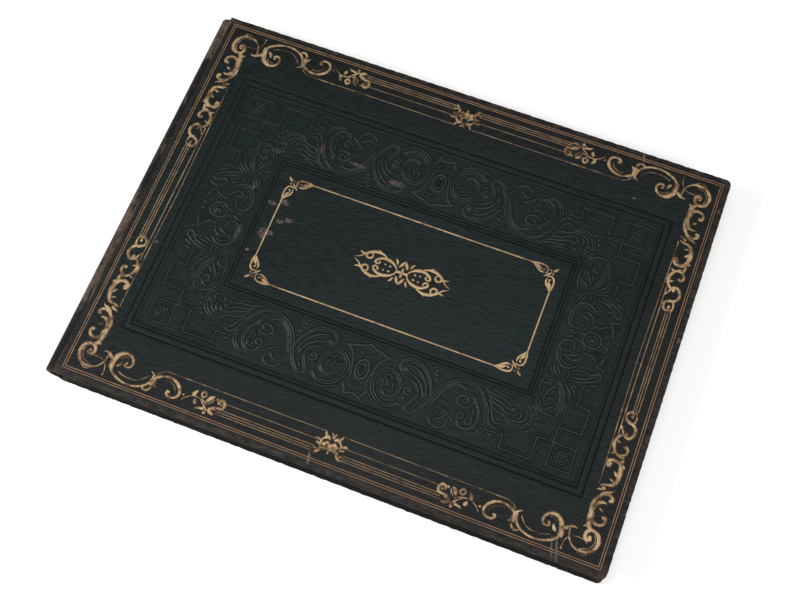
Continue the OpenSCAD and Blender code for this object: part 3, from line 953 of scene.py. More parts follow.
@dataclass(frozen=True)
class BlindKeys:
    """One quarter of the corner square and the stepped straps that leave it on two sides."""

    middle: tuple[float, float] = (32.6, 42.7)

    def strokes(self) -> list[Stroke]:
        """Every straight ridge of the quarter."""
        square = ((26.9, 36.9), (38.3, 36.9), (38.3, 48.6), (26.9, 48.6), (26.9, 36.9))
        inner = ((28.4, 38.4), (36.8, 38.4), (36.8, 47.1), (28.4, 47.1), (28.4, 38.4))
        along = ((38.3, 48.7), (46.2, 48.7), (46.2, 36.9), (61.8, 36.9), (61.8, 43.2), (69.9, 43.2))
        beside = ((38.3, 48.7), (38.3, 56.6), (26.9, 56.6), (26.9, 69.4), (33.6, 69.4), (33.6, 78.0))
        made = [*self.ridge(square, 0.75), *self.ridge(inner, 0.6)]
        for way in (along, beside):
            made += [*self.ridge(way, 0.8), *self.ridge(self.shifted(way, 1.35), 0.55),
                     *self.ridge(self.shifted(way, -1.35), 0.55)]
        x, y = self.middle
        made += [spiral(x, y, (radius, radius), (0, 360), (width,))
                 for radius, width in ((3.1, 0.6), (1.5, 0.7))]
        made += [dot(x + 2.3 * math.cos(a), y + 2.3 * math.sin(a), 0.45)
                 for a in np.radians(np.arange(0, 360, 45))]
        return made + [dot(29.6 + dx, 39.7 + dy, 0.5) for dx in (0.0, 6.0) for dy in (0.0, 6.1)]

    @staticmethod
    def shifted(way: Way, gap: float) -> Way:
        """The way moved sideways by a gap, its corners kept square."""
        xy = np.array(way)
        steps = np.diff(xy, axis=0)
        steps /= np.linalg.norm(steps, axis=1, keepdims=True)
        normal = np.stack([-steps[:, 1], steps[:, 0]], axis=1)
        moved = xy.copy()
        moved[:-1] += normal * gap
        moved[1:] += normal * gap
        moved[1:-1] = xy[1:-1] + (normal[:-1] + normal[1:]) * gap
        return tuple((float(x), float(y)) for x, y in moved)

    @staticmethod
    def ridge(way: Way, width: float) -> list[Stroke]:
        """Straight ridges along a way, each run on to close its corners."""
        made = []
        for (x0, y0), (x1, y1) in zip(way, way[1:]):
            length = math.hypot(x1 - x0, y1 - y0)
            dx, dy = (x1 - x0) / length * width / 2, (y1 - y0) / length * width / 2
            made.append(Stroke((x0 - dx, y0 - dy, x1 + dx, y1 + dy), (width,)))
        return made


class LineTree:
    """Geometry Nodes that make a finished mesh out of plain lines, with named inputs."""

    name: str = ""
    inputs: tuple[tuple[str, str, Any], ...] = ()

    def __init__(self) -> None:
        """Build the tree: its inputs, the shape and the finish."""
        self.group = bpy.data.node_groups.new(self.name, "GeometryNodeTree")
        self.ids: dict[str, str] = {}
        face = self.group.interface
        ends = (("Geometry", "NodeSocketGeometry", None), ("Finish", "NodeSocketMaterial", None))
        for name, kind, value in (ends[0], *self.inputs, ends[1]):
            made = face.new_socket(name=name, in_out="INPUT", socket_type=kind)
            if value is not None:
                made.default_value = value
            self.ids[name] = made.identifier
        face.new_socket(name="Geometry", in_out="OUTPUT", socket_type="NodeSocketGeometry")
        b = Bench(self.group)
        given = b.node("NodeGroupInput").outputs
        whole = b.geometry("RealizeInstances", Geometry=self.shape(b, given))
        whole = b.geometry("SetMaterial", Geometry=whole, Material=given["Finish"])
        b.node("NodeGroupOutput", None, {"Geometry": whole})

    def shape(self, b: Bench, given: Mapping[str, Socket]) -> Term:
        """Add the nodes of the shape.

        Args:
            b: The bench of this tree.
            given: The tree's inputs by name.

        Returns:
            The geometry.
        """
        raise NotImplementedError

    @staticmethod
    def joined(b: Bench, first: Term, second: Term) -> Term:
        """Join two geometries."""
        both = b.node("GeometryNodeJoinGeometry")
        b.feed(both.inputs[0], first)
        b.feed(both.inputs[0], second)
        return Term(b, both.outputs[0])

    def make(
        self, name: str, lines: Sequence[np.ndarray], finish: Material,
        values: Mapping[str, Any], widths: Optional[np.ndarray] = None,
    ) -> Mesh:
        """Run the tree on lines and take the plain mesh.

        Args:
            name: Name of the mesh.
            lines: Points of each line in millimetres.
            finish: The mesh's material.
            values: The tree's other inputs by name.
            widths: Width at each point of all the lines, in millimetres.

        Returns:
            The mesh.
        """
        ends = np.cumsum([len(line) for line in lines]).tolist()
        edges = [(k, k + 1) for a, b in zip([0, *ends], ends) for k in range(a, b - 1)]
        mesh = bpy.data.meshes.new(f"{name}_plan")
        mesh.from_pydata((np.vstack(lines) * MM).tolist(), edges, [])
        if widths is not None:
            carry(mesh, "width", widths * MM)
        plan = link(mesh.name, mesh)
        modifier = plan.modifiers.new(self.name, "NODES")
        modifier.node_group = self.group
        for key, value in {**values, "Finish": finish}.items():
            modifier[self.ids[key]] = value
        graph = bpy.context.evaluated_depsgraph_get()
        made = bpy.data.meshes.new_from_object(plan.evaluated_get(graph))
        made.name = name
        plan.modifiers.clear()
        bpy.data.objects.remove(plan)
        return made


@dataclass(frozen=True)
class Rib:
    """Section of a pressed rib.

    Height is its greatest height, slope the height of a narrow rib as a share of its width, and
    flare how far its feet spread.
    """

    height: float
    slope: float
    flare: float = 0.0


class ToolingTree(LineTree):
    """Presses strokes as rounded ribs and repeats them in the four quarters."""

    name = "tooling"
    inputs = (
        ("Height", "NodeSocketFloat", 0.0002),
        ("Slope", "NodeSocketFloat", 0.4),
        ("Flare", "NodeSocketFloat", 0.0),
        ("Middle", "NodeSocketVector", (0.0, 0.0, 0.0)),
    )

    def shape(self, b: Bench, given: Mapping[str, Socket]) -> Term:
        """Ribs along the lines, and their mirror images."""
        width = b.term("GeometryNodeInputNamedAttribute", {"data_type": "FLOAT"}, {"Name": "width"})
        line = b.geometry("MeshToCurve", Mesh=given["Geometry"])
        line = b.term("GeometryNodeSetCurveNormal", {"mode": "Z_UP"}, {"Curve": line})
        ring = b.geometry("CurvePrimitiveCircle", "Curve", Resolution=8, Radius=1.0)
        px, py, _ = b.split(b.geometry("InputPosition"))
        spread = b.vector(px * (1.0 + Term(b, given["Flare"]) * (1.0 - abs(py))), py, 0.0)
        ring = b.geometry("SetPosition", Geometry=ring, Position=spread)
        rib = b.geometry("CurveToMesh", Curve=line, Profile_Curve=ring, Scale=width * 0.5, Fill_Caps=True)
        _, _, z = b.split(b.geometry("InputPosition"))
        height = (width * Term(b, given["Slope"])).least(Term(b, given["Height"]))
        tall = height / (width * 0.5).most(1e-6)
        flat = b.vector(0.0, 0.0, z * tall - z)
        rib = b.geometry("SetPosition", Geometry=rib, Offset=flat)
        for mirror in ((-1.0, 1.0, 1.0), (1.0, -1.0, 1.0)):
            other = b.geometry("Transform", Geometry=rib, Scale=mirror)
            rib = self.joined(b, rib, b.geometry("FlipFaces", Mesh=other))
        return b.geometry("Transform", Geometry=rib, Translation=given["Middle"])

    def press(
        self, name: str, lines: Sequence[Line], rib: Rib, level: float, finish: Material,
        side: Side, shade: str,
    ) -> Piece:
        """Turn the lines of one quarter into the ribs of the whole cover.

        Args:
            name: The piece's name.
            lines: Points and widths of each line, from the corner of the gilt frame.
            rib: Shape of the ribs.
            level: Height of the ground that the ribs stand on, for the front cover.
            finish: Their material.
            side: The cover that carries them.
            shade: Name of the attribute that rises from 0 at a rib's feet to 1 at its top.

        Returns:
            The piece.
        """
        corner = (SIZES.gilt_half_w, SIZES.gilt_half_h)
        made = self.make(
            name, [rows(*(line - corner).T, 0.0) for line, _ in lines], finish,
            {"Height": rib.height * MM, "Slope": rib.slope, "Flare": rib.flare,
             "Middle": (SIZES.middle_x * MM, 0.0, level * MM)},
            np.concatenate([widths for _, widths in lines]),
        )
        xyz = places(made)
        carry(made, shade, np.clip((xyz[:, 2] - level) / rib.height, 0, 1))
        xyz[:, 2] += lie(xyz[:, 0], xyz[:, 1])
        if side is Side.BACK:
            xyz = turned_over(xyz)
        made.vertices.foreach_set("co", (xyz * MM).astype(np.float32).reshape(-1))
        smooth(made, 60.0)
        if side is Side.BACK:
            made.flip_normals()
        return link(name, made)


class WindingTree(LineTree):
    """Winds rings of silk round a roll along a path."""

    name = "winding"
    inputs = (
        ("Turns", "NodeSocketInt", 60),
        ("Roll", "NodeSocketFloat", 0.0007),
        ("Thread", "NodeSocketFloat", 0.0001),
    )

    def shape(self, b: Bench, given: Mapping[str, Socket]) -> Term:
        """The roll, and rings that carry the number of their turn."""
        path = b.geometry("MeshToCurve", Mesh=given["Geometry"])
        section, loop, strand = (
            b.geometry("CurvePrimitiveCircle", "Curve", Resolution=count, Radius=given[radius])
            for count, radius in ((12, "Roll"), (14, "Roll"), (6, "Thread")))
        core = b.geometry("CurveToMesh", Curve=path, Profile_Curve=section, Fill_Caps=True)
        ring = b.geometry("CurveToMesh", Curve=loop, Profile_Curve=strand)
        spots = b.node("GeometryNodeCurveToPoints", {"mode": "COUNT"},
                       {"Curve": path, "Count": given["Turns"]}).outputs
        wound = b.geometry(
            "InstanceOnPoints", Points=spots["Points"], Instance=ring, Rotation=spots["Rotation"])
        number = b.geometry("InputIndex")
        wound = b.term("GeometryNodeStoreNamedAttribute", {"data_type": "FLOAT", "domain": "INSTANCE"},
                       {"Geometry": wound, "Name": "turn", "Value": number})
        return self.joined(b, core, wound)


def straight_grain(b: ShaderBench) -> Term:
    """Long wavy creases that run along the album, with pores between them."""
    wander = b.noise(0.06, 3.0)
    across = b.y + wander * 4.5
    lines = b.noise(1.05, 3.0, 0.62, at=b.vector(b.x * 0.17, across, b.z))
    pores = b.noise(2.4, 3.0, 0.6)
    return lines * 0.74 + pores * 0.26


@dataclass(frozen=True)
class Scuff:
    """A rubbed spot, as an oval that may lean."""

    x: float
    y: float
    rx: float
    ry: float
    lean: float = 0.0

    def cover(self, b: ShaderBench) -> Term:
        """1 in the middle of the spot, 0 outside."""
        dy = b.y - self.y
        dx = b.x - self.x - dy * self.lean
        return ((dx / self.rx) ** 2.0 + (dy / self.ry) ** 2.0).fall(0.25, 1.6)


def covered(b: ShaderBench, scuffs: Sequence[Scuff]) -> Term:
    """1 in the middle of any of the spots, 0 outside them all."""
    spots = scuffs[0].cover(b)
    for scuff in scuffs[1:]:
        spots = spots.most(scuff.cover(b))
    return spots


SCUFFS: tuple[Scuff, ...] = (
    Scuff(-72.5, 12.8, 2.6, 1.1), Scuff(-66.2, 15.2, 2.2, 1.5), Scuff(-64.7, 4.6, 1.9, 1.2),
    Scuff(-60.6, 6.6, 2.2, 1.3), Scuff(-70.1, -4.2, 2.6, 3.0), Scuff(-66.8, -3.0, 1.6, 1.2),
    Scuff(-60.2, 50.5, 1.0, 2.6), Scuff(-16.6, 45.4, 4.6, 1.6), Scuff(-39.3, 48.0, 5.0, 0.9),
    Scuff(-85.0, 18.2, 1.0, 2.0), Scuff(-82.2, -8.0, 1.2, 4.2), Scuff(-96.6, -0.6, 1.8, 1.0),
    Scuff(-118.5, -28.0, 1.2, 0.8), Scuff(-74.3, -15.4, 1.4, 0.8),
)
EDGE_RUBS: tuple[Scuff, ...] = (
    Scuff(22.1, -105.0, 9.0, 1.8), Scuff(50.0, -104.8, 8.0, 2.4), Scuff(66.0, -105.8, 9.0, 1.8),
    Scuff(128.0, -106.0, 11.0, 1.5), Scuff(100.0, -107.0, 14.0, 1.0), Scuff(-60.0, -107.0, 26.0, 0.9),
    Scuff(-98.0, -107.0, 14.0, 0.8), Scuff(85.0, 106.8, 40.0, 1.0), Scuff(-12.0, 107.0, 40.0, 0.7),
    Scuff(142.0, 60.0, 1.5, 40.0), Scuff(142.2, -40.0, 1.4, 44.0), Scuff(-100.0, 107.0, 30.0, 0.9),
    Scuff(141.0, 102.5, 3.4, 4.2), Scuff(141.0, -103.5, 3.0, 3.6), Scuff(-131.0, 104.5, 6.0, 2.6),
)
MARKS: tuple[Scuff, ...] = (
    Scuff(-4.4, -102.9, 0.75, 3.0, -0.2), Scuff(115.2, -101.6, 0.45, 5.0, -0.3),
    Scuff(117.6, -101.6, 0.6, 5.0, -0.3), Scuff(96.8, 104.2, 0.6, 3.2, -0.2),
    Scuff(98.8, 80.2, 1.0, 0.5), Scuff(140.9, 88.3, 0.6, 0.6), Scuff(141.3, 14.7, 0.6, 1.6),
)


@dataclass(frozen=True)
class BlockedLeather:
    """Dark green straight-grained leather of the covers, rubbed brown along its edges."""

    name: str = "blocked_leather"
    deep: Colour = (0.0008, 0.0028, 0.0030)
    lit: Colour = (0.0060, 0.0150, 0.0158)
    edge_lit: Colour = (0.0080, 0.0095, 0.0090)
    rubbed: Colour = (0.075, 0.043, 0.026)
    bare: Colour = (0.22, 0.15, 0.12)
    dusty: Colour = (0.046, 0.037, 0.030)
    chalky: Colour = (0.16, 0.145, 0.13)
    # Near-black for painted shade under the boards' edges and at the feet of the ribs, and for the blind
    # grooves and beds, which are partly darkened by the hot tool and partly painted shade.
    tool_dark_and_shade: Colour = (0.0007, 0.0012, 0.0013)
    # Painted highlight for the tops of the pressed ribs.
    crown_highlight: Colour = (0.017, 0.025, 0.026)
    gloss: float = 0.26
    roughness: float = 0.38
    pressed: bool = False

    def build(self) -> Material:
        """Make the material."""
        b = ShaderBench(self.name)
        grain = straight_grain(b)
        cloud = b.noise(0.02, 4.0)
        from_side = (SIZES.half_h - abs(b.y)).least(SIZES.fore_x - b.x)
        lit = b.mix(from_side.fall(6.0, 38.0), self.lit, self.edge_lit)
        base = b.mix((grain * 4.2 - 1.6 + (cloud - 0.5) * 0.8).clamped(), self.deep, lit)
        patch = b.noise(0.11, 5.0, 0.65)
        fleck = b.noise(0.9, 4.0, 0.7)
        along_corner = (SIZES.half_h - abs(b.y)) + (SIZES.fore_x - b.x).least(b.x - SIZES.hinge_x)
        streak = b.noise(0.3, 5.0, 0.75, at=b.stretched(0.6, 1.4, 1.0))
        upper = abs(b.z - SIZES.mid_z).rise(SIZES.mid_z - 1.5, SIZES.mid_z - 0.5)
        rim = from_side.fall(0.1, 1.3) * (patch * 2.6 - 0.9 + fleck * 0.3).clamped() * (0.25 + upper * 0.75)
        band = from_side.fall(1.8, 4.2) * (streak * 7.0 - 3.30).clamped() * upper
        # Painted shade: the lower part of each board's edge and the leather just under it are darkened,
        # standing in for the shadow there.
        under = from_side.fall(0.2, 0.9) * (1.0 - upper)
        corner = along_corner.fall(1.5, 8.0) * (fleck * 1.5 - 0.1).clamped()
        joint = (b.x - SIZES.hinge_x).fall(0.4, 3.4) * (patch * 3.0 - 0.9).clamped()
        worn = (rim * 0.5 + corner * 0.9 + joint * 0.35) * (0.45 + fleck)
        rubs = covered(b, EDGE_RUBS) * (fleck * 4.4 - 2.0).clamped() * b.z.rise(15.0, 15.6)
        colour = b.mix((band * 0.9).clamped(), base, self.dusty)
        # Painted shade under the boards' edges.
        colour = b.mix(under * 0.85, colour, self.tool_dark_and_shade)
        colour = b.mix((worn + rubs * 0.55).clamped(), colour, self.rubbed)
        spots = self._scuffs(b, fleck)
        colour = b.mix(spots, colour, self.bare)
        pale = covered(b, MARKS) * (fleck * 2.4 - 0.5).clamped() * b.z.rise(13.0, 14.0)
        colour = b.mix(pale * 0.85, colour, self.chalky)
        rough = self.roughness + (grain - 0.5) * 0.25 + worn.clamped() * 0.25 + spots * 0.2 + pale * 0.2
        rough = rough + from_side.fall(0.3, 1.6) * 0.55
        sockets: dict[str, Any] = {}
        if self.pressed:
            crown = b.attribute("crown")
            # Painted shade at the feet of the ribs and a painted highlight on their tops; the coat on the
            # tops is their real burnish.
            colour = b.mix(crown.fall(0.1, 0.5) * 0.85, colour, self.tool_dark_and_shade)
            colour = b.mix(crown.rise(0.55, 0.95) * 0.6, colour, self.crown_highlight)
            rough = rough - crown * 0.10
            sockets = {"Coat_Weight": crown.rise(0.45, 0.95) * 0.32, "Coat_Roughness": 0.30}
        else:
            # Grooves and beds darkened: partly the hot tool's darkening, partly painted shade.
            groove_shade = b.attribute("groove_shade")
            colour = b.mix(groove_shade * 0.76, colour, self.tool_dark_and_shade)
            rough = rough + groove_shade * 0.6
        relief = grain * (0.85 + b.x.rise(0.0, 90.0) * 0.5)
        return b.close(
            Base_Color=colour, Roughness=rough.clamped(), Normal=b.bump(relief, 0.48, 0.9),
            Specular_IOR_Level=self.gloss, **sockets
        )

    def _scuffs(self, b: ShaderBench, fleck: Term) -> Term:
        """Rubbed spots of the front cover, broken up by the grain.

        Args:
            b: The bench of this finish.
            fleck: Fine noise that breaks their outlines.

        Returns:
            1 in the middle of a spot, 0 outside.
        """
        spots = covered(b, SCUFFS)
        front = b.z.rise(8.0, 9.0)
        return (spots * front * (fleck * 4.4 - 1.75).clamped() * 0.8).clamped()


@dataclass(frozen=True)
class SpineLeather:
    """Leather of the spine and its joints, handled until its colour has gone."""

    name: str = "spine_leather"
    deep: Colour = (0.0045, 0.0045, 0.0042)
    rubbed: Colour = (0.052, 0.036, 0.026)
    dry: Colour = (0.190, 0.135, 0.105)
    caps: Colour = (0.030, 0.018, 0.012)
    gloss: float = 0.16

    def build(self) -> Material:
        """Make the material."""
        b = ShaderBench(self.name)
        grain = straight_grain(b)
        patch = b.noise(0.13, 5.0, 0.65, at=b.stretched(1.6, 0.55, 1.6))
        fleck = b.noise(1.1, 4.0, 0.7)
        ends = abs(b.y).rise(103.0, 106.5)
        # Hands have rubbed it over 40 mm on either side of y = -36, and near the head.
        long = (b.y + 36.0) / 40.0
        head = (b.y - 96.0) / 20.0
        handled = (1.0 - long * long).most(1.0 - head * head).clamped().rise(0.0, 0.55)
        blotch = b.noise(0.38, 4.0, 0.7, at=b.stretched(1.2, 0.7, 1.2))
        worn = (patch * 3.4 - 1.62 + handled * 0.6 + (blotch - 0.5) * 2.2).clamped()
        colour = b.mix(worn * (0.35 + fleck * 0.9), self.deep, self.rubbed)
        dry = (patch * 3.0 - 1.85 + handled * 0.9 + (blotch - 0.5) * 2.4).clamped()
        dry = dry * (fleck * 4.4 - 1.5).clamped()
        colour = b.mix(dry * 0.8, colour, self.dry)
        colour = b.mix(ends * 0.75, colour, self.caps)
        rough = (0.66 + worn * 0.22 + (grain - 0.5) * 0.3).clamped()
        relief = grain * 0.6 + fleck * 0.4
        return b.close(
            Base_Color=colour, Roughness=rough, Normal=b.bump(relief, 0.2, 0.8),
            Specular_IOR_Level=self.gloss,
        )


@dataclass(frozen=True)
class GoldLeaf:
    """Gold leaf pressed into leather, browned at its edges and rubbed off in places, with a painted
    highlight along the middle of each stroke.
    """

    name: str = "gold_leaf"
    bright: Colour = (0.66, 0.46, 0.245)
    browned: Colour = (0.115, 0.060, 0.028)
    copper: Colour = (0.40, 0.225, 0.115)
    lost: Colour = (0.050, 0.030, 0.019)

    def build(self) -> Material:
        """Make the material."""
        b = ShaderBench(self.name)
        crown = b.attribute("crown")
        fleck = b.noise(0.75, 4.0, 0.65)
        patch = b.noise(0.045, 3.0)
        swell = b.noise(0.22, 3.0, 0.6)
        # Where only ruled lines run, the gold has kept an even strength.
        along = SIZES.gilt_half_w - abs(b.x - SIZES.middle_x)
        up = SIZES.gilt_half_h - abs(b.y)
        ruled = (along.rise(80.0, 82.0) * along.fall(127.5, 129.0)).most(up.rise(76.0, 78.0))
        panel = along.rise(60.0, 61.0) * up.rise(70.0, 71.0)
        # The middle of each stroke is paler and its edges browner: partly the gold's own wear at its edges,
        # partly a painted highlight along the crown.
        pale = crown * 0.9 - 0.27 + (patch - 0.5) * 0.5 + panel * 0.2
        pale = pale + ((swell - 0.5) * 4.0 + (fleck - 0.5) * 1.8) * (1.0 - ruled * 0.68)
        colour = b.mix(pale.clamped(), self.browned, self.bright)
        engraved = crown.rise(0.70, 0.80) * crown.fall(0.86, 0.96) * (fleck * 3.0 - 0.9).clamped()
        engraved = engraved * (1.0 - ruled)
        colour = b.mix(engraved * 0.7, colour, self.browned)
        from_side = (SIZES.half_h - abs(b.y)).least(SIZES.fore_x - b.x).least(b.x - SIZES.hinge_x)
        colour = b.mix(from_side.fall(5.4, 6.2) * (0.45 + fleck * 0.5), colour, self.copper)
        rub = from_side.fall(3.0, 9.0) * 0.10 + patch * 0.5
        gone = (fleck * 2.6 + rub * 1.3 - 1.95).clamped()
        colour = b.mix(gone, colour, self.lost)
        metal = (0.50 - gone * 0.50).clamped()
        rough = (0.50 + (fleck - 0.5) * 0.3 + gone * 0.1).clamped()
        relief = crown * 0.8 + fleck * 0.2
        return b.close(
            Base_Color=colour, Metallic=metal, Roughness=rough, Normal=b.bump(relief, 0.16, 0.9)
        )


@dataclass(frozen=True)
class PaperStock:
    """Paper or card: fibres, slight toning and foxing, with gilt on its trimmed edges if it has any."""

    name: str
    tint: Colour
    toned: Colour
    gilt_edge: bool = False
    foxing: float = 0.5
    roughness: float = 0.82
    foxed: Colour = (0.36, 0.19, 0.075)
    gilt: Colour = (0.70, 0.46, 0.18)

    def build(self) -> Material:
        """Make the material."""
        b = ShaderBench(self.name)
        cloud = b.noise(0.012, 4.0)
        fibre = b.noise(1.8, 3.0, 0.6, at=b.stretched(0.6, 1.0, 3.0))
        edge = (SIZES.half_leaf - abs(b.y)).least(SIZES.leaf_end_x - b.x)
        toning = (edge.fall(0.0, 16.0) * 0.6 + (cloud - 0.45) * 0.9).clamped()
        colour = b.mix(toning, self.tint, self.toned)
        colour = b.mix((fibre - 0.5).clamped() * 0.5, colour, self.toned)
        spot = b.noise(0.085, 4.0, 0.7).rise(0.66, 0.74) * self.foxing
        colour = b.mix(spot, colour, self.foxed)
        rough: Number = self.roughness
        sockets: dict[str, Any] = {}
        if self.gilt_edge:
            trimmed = edge.fall(0.005, 0.03)
            worn = b.noise(0.35, 4.0, 0.7)
            gold = (trimmed * (1.25 - (worn * 3.2 - 1.5).clamped())).clamped()
            colour = b.mix(gold, colour, self.gilt)
            sockets["Metallic"] = gold * 0.9
            rough = self.roughness - gold * 0.42
        return b.close(
            Base_Color=colour, Roughness=rough, Normal=b.bump(fibre, 0.05, 0.5), **sockets
        )


@dataclass(frozen=True)
class Linen:
    """Plain-woven linen of the guards and the tapes."""

    name: str
    tint: Colour
    shade: Colour
    pitch: float = 0.5
    gilt: Colour = (0.62, 0.42, 0.17)

    def build(self) -> Material:
        """Make the material."""
        b = ShaderBench(self.name)
        turns = 2 * math.pi / self.pitch
        warp = b.maths("SINE", b.x * turns + (b.noise(0.3, 2.0) - 0.5) * 1.5)
        weft = b.maths("SINE", b.y * turns + (b.noise(0.27, 2.0) - 0.5) * 1.5)
        weave = (warp * weft * 0.5 + 0.5).clamped()
        slub = b.noise(0.5, 3.0, at=b.stretched(0.2, 2.0, 1.0))
        colour = b.mix((weave * 0.5 + slub * 0.6 - 0.15).clamped(), self.shade, self.tint)
        # The guards' ends are trimmed and gilt with the leaves.
        trimmed = abs(b.y).rise(SIZES.half_leaf - 0.25, SIZES.half_leaf - 0.05)
        colour = b.mix(trimmed * 0.9, colour, self.gilt)
        return b.close(Base_Color=colour, Roughness=0.9 - trimmed * 0.3, Normal=b.bump(weave, 0.12, 0.8))


@dataclass(frozen=True)
class Pasteboard:
    """Grey-brown rope board, with its fibres and specks."""

    name: str = "pasteboard"
    tint: Colour = (0.30, 0.23, 0.155)
    speck: Colour = (0.09, 0.065, 0.045)

    def build(self) -> Material:
        """Make the material."""
        b = ShaderBench(self.name)
        fibre = b.noise(0.8, 5.0, 0.7, at=b.stretched(1.0, 0.5, 4.0))
        layers = b.maths("SINE", b.z * 12.0 + fibre * 5.0) * 0.5 + 0.5
        colour = b.mix(fibre.rise(0.55, 0.75) * 0.8, self.tint, self.speck)
        rough = 0.85 + (fibre - 0.5) * 0.2
        return b.close(
            Base_Color=colour, Roughness=rough, Normal=b.bump(fibre * 0.7 + layers * 0.3, 0.15, 0.8)
        )


@dataclass(frozen=True)
class Silk:
    """Silk of the endbands, in two colours by turns of four threads."""

    name: str = "endband_silk"
    red: Colour = (0.26, 0.035, 0.03)
    cream: Colour = (0.66, 0.54, 0.36)
    dusty: Colour = (0.12, 0.085, 0.06)

    def build(self) -> Material:
        """Make the material."""
        b = ShaderBench(self.name)
        band = b.maths("FLOORED_MODULO", b.attribute("turn"), 8.0).rise(3.4, 3.6)
        fibre = b.noise(6.0, 3.0, 0.6)
        dust = b.noise(0.4, 3.0)
        colour = b.mix(band, self.red, self.cream)
        colour = b.mix((dust - 0.35).clamped() * 0.8, colour, self.dusty)
        return b.close(
            Base_Color=colour, Roughness=0.42 + fibre * 0.2, Normal=b.bump(fibre, 0.03, 0.6)
        )


@dataclass
class Wrap:
    """Rows of points that lead a cover's leather over its free edges and in under the board.

    A row starts and ends at the spine. Its points lie on x and y at the full inset, and move
    outwards by out_x and out_y.
    """

    x: np.ndarray
    y: np.ndarray
    out_x: np.ndarray
    out_y: np.ndarray
    inset: float
    outer: list[np.ndarray] = field(default_factory=list)
    inner: list[np.ndarray] = field(default_factory=list)

    def at(self, depth: float, worn: Union[float, np.ndarray] = 0.0) -> tuple[np.ndarray, np.ndarray]:
        """Places this far in from the cover's edge, moved by the wear."""
        reach = self.inset - depth + worn
        return self.x + self.out_x * reach, self.y + self.out_y * reach

    def add(
        self, depth: float, z: Union[float, np.ndarray], in_depth: float, in_z: float, dent: float = 0.0
    ) -> None:
        """Add a row.

        Args:
            depth: How far in from the edge its outer points are.
            z: Their height.
            in_depth: How far in its inner points are.
            in_z: Their height.
            dent: How uneven the outer points are.
        """
        level = z + 0 * self.x
        worn = dent * (wobble(self.x, self.y * 1.3, level) - 0.35)
        worn = worn + 1.1 * dent * (wobble(self.x * 2.3, self.y * 2.9, 4 * level) - 0.4)
        self.outer.append(rows(*self.at(depth, np.minimum(worn, 0.0)), z))
        self.inner.append(rows(*self.at(in_depth), in_z))


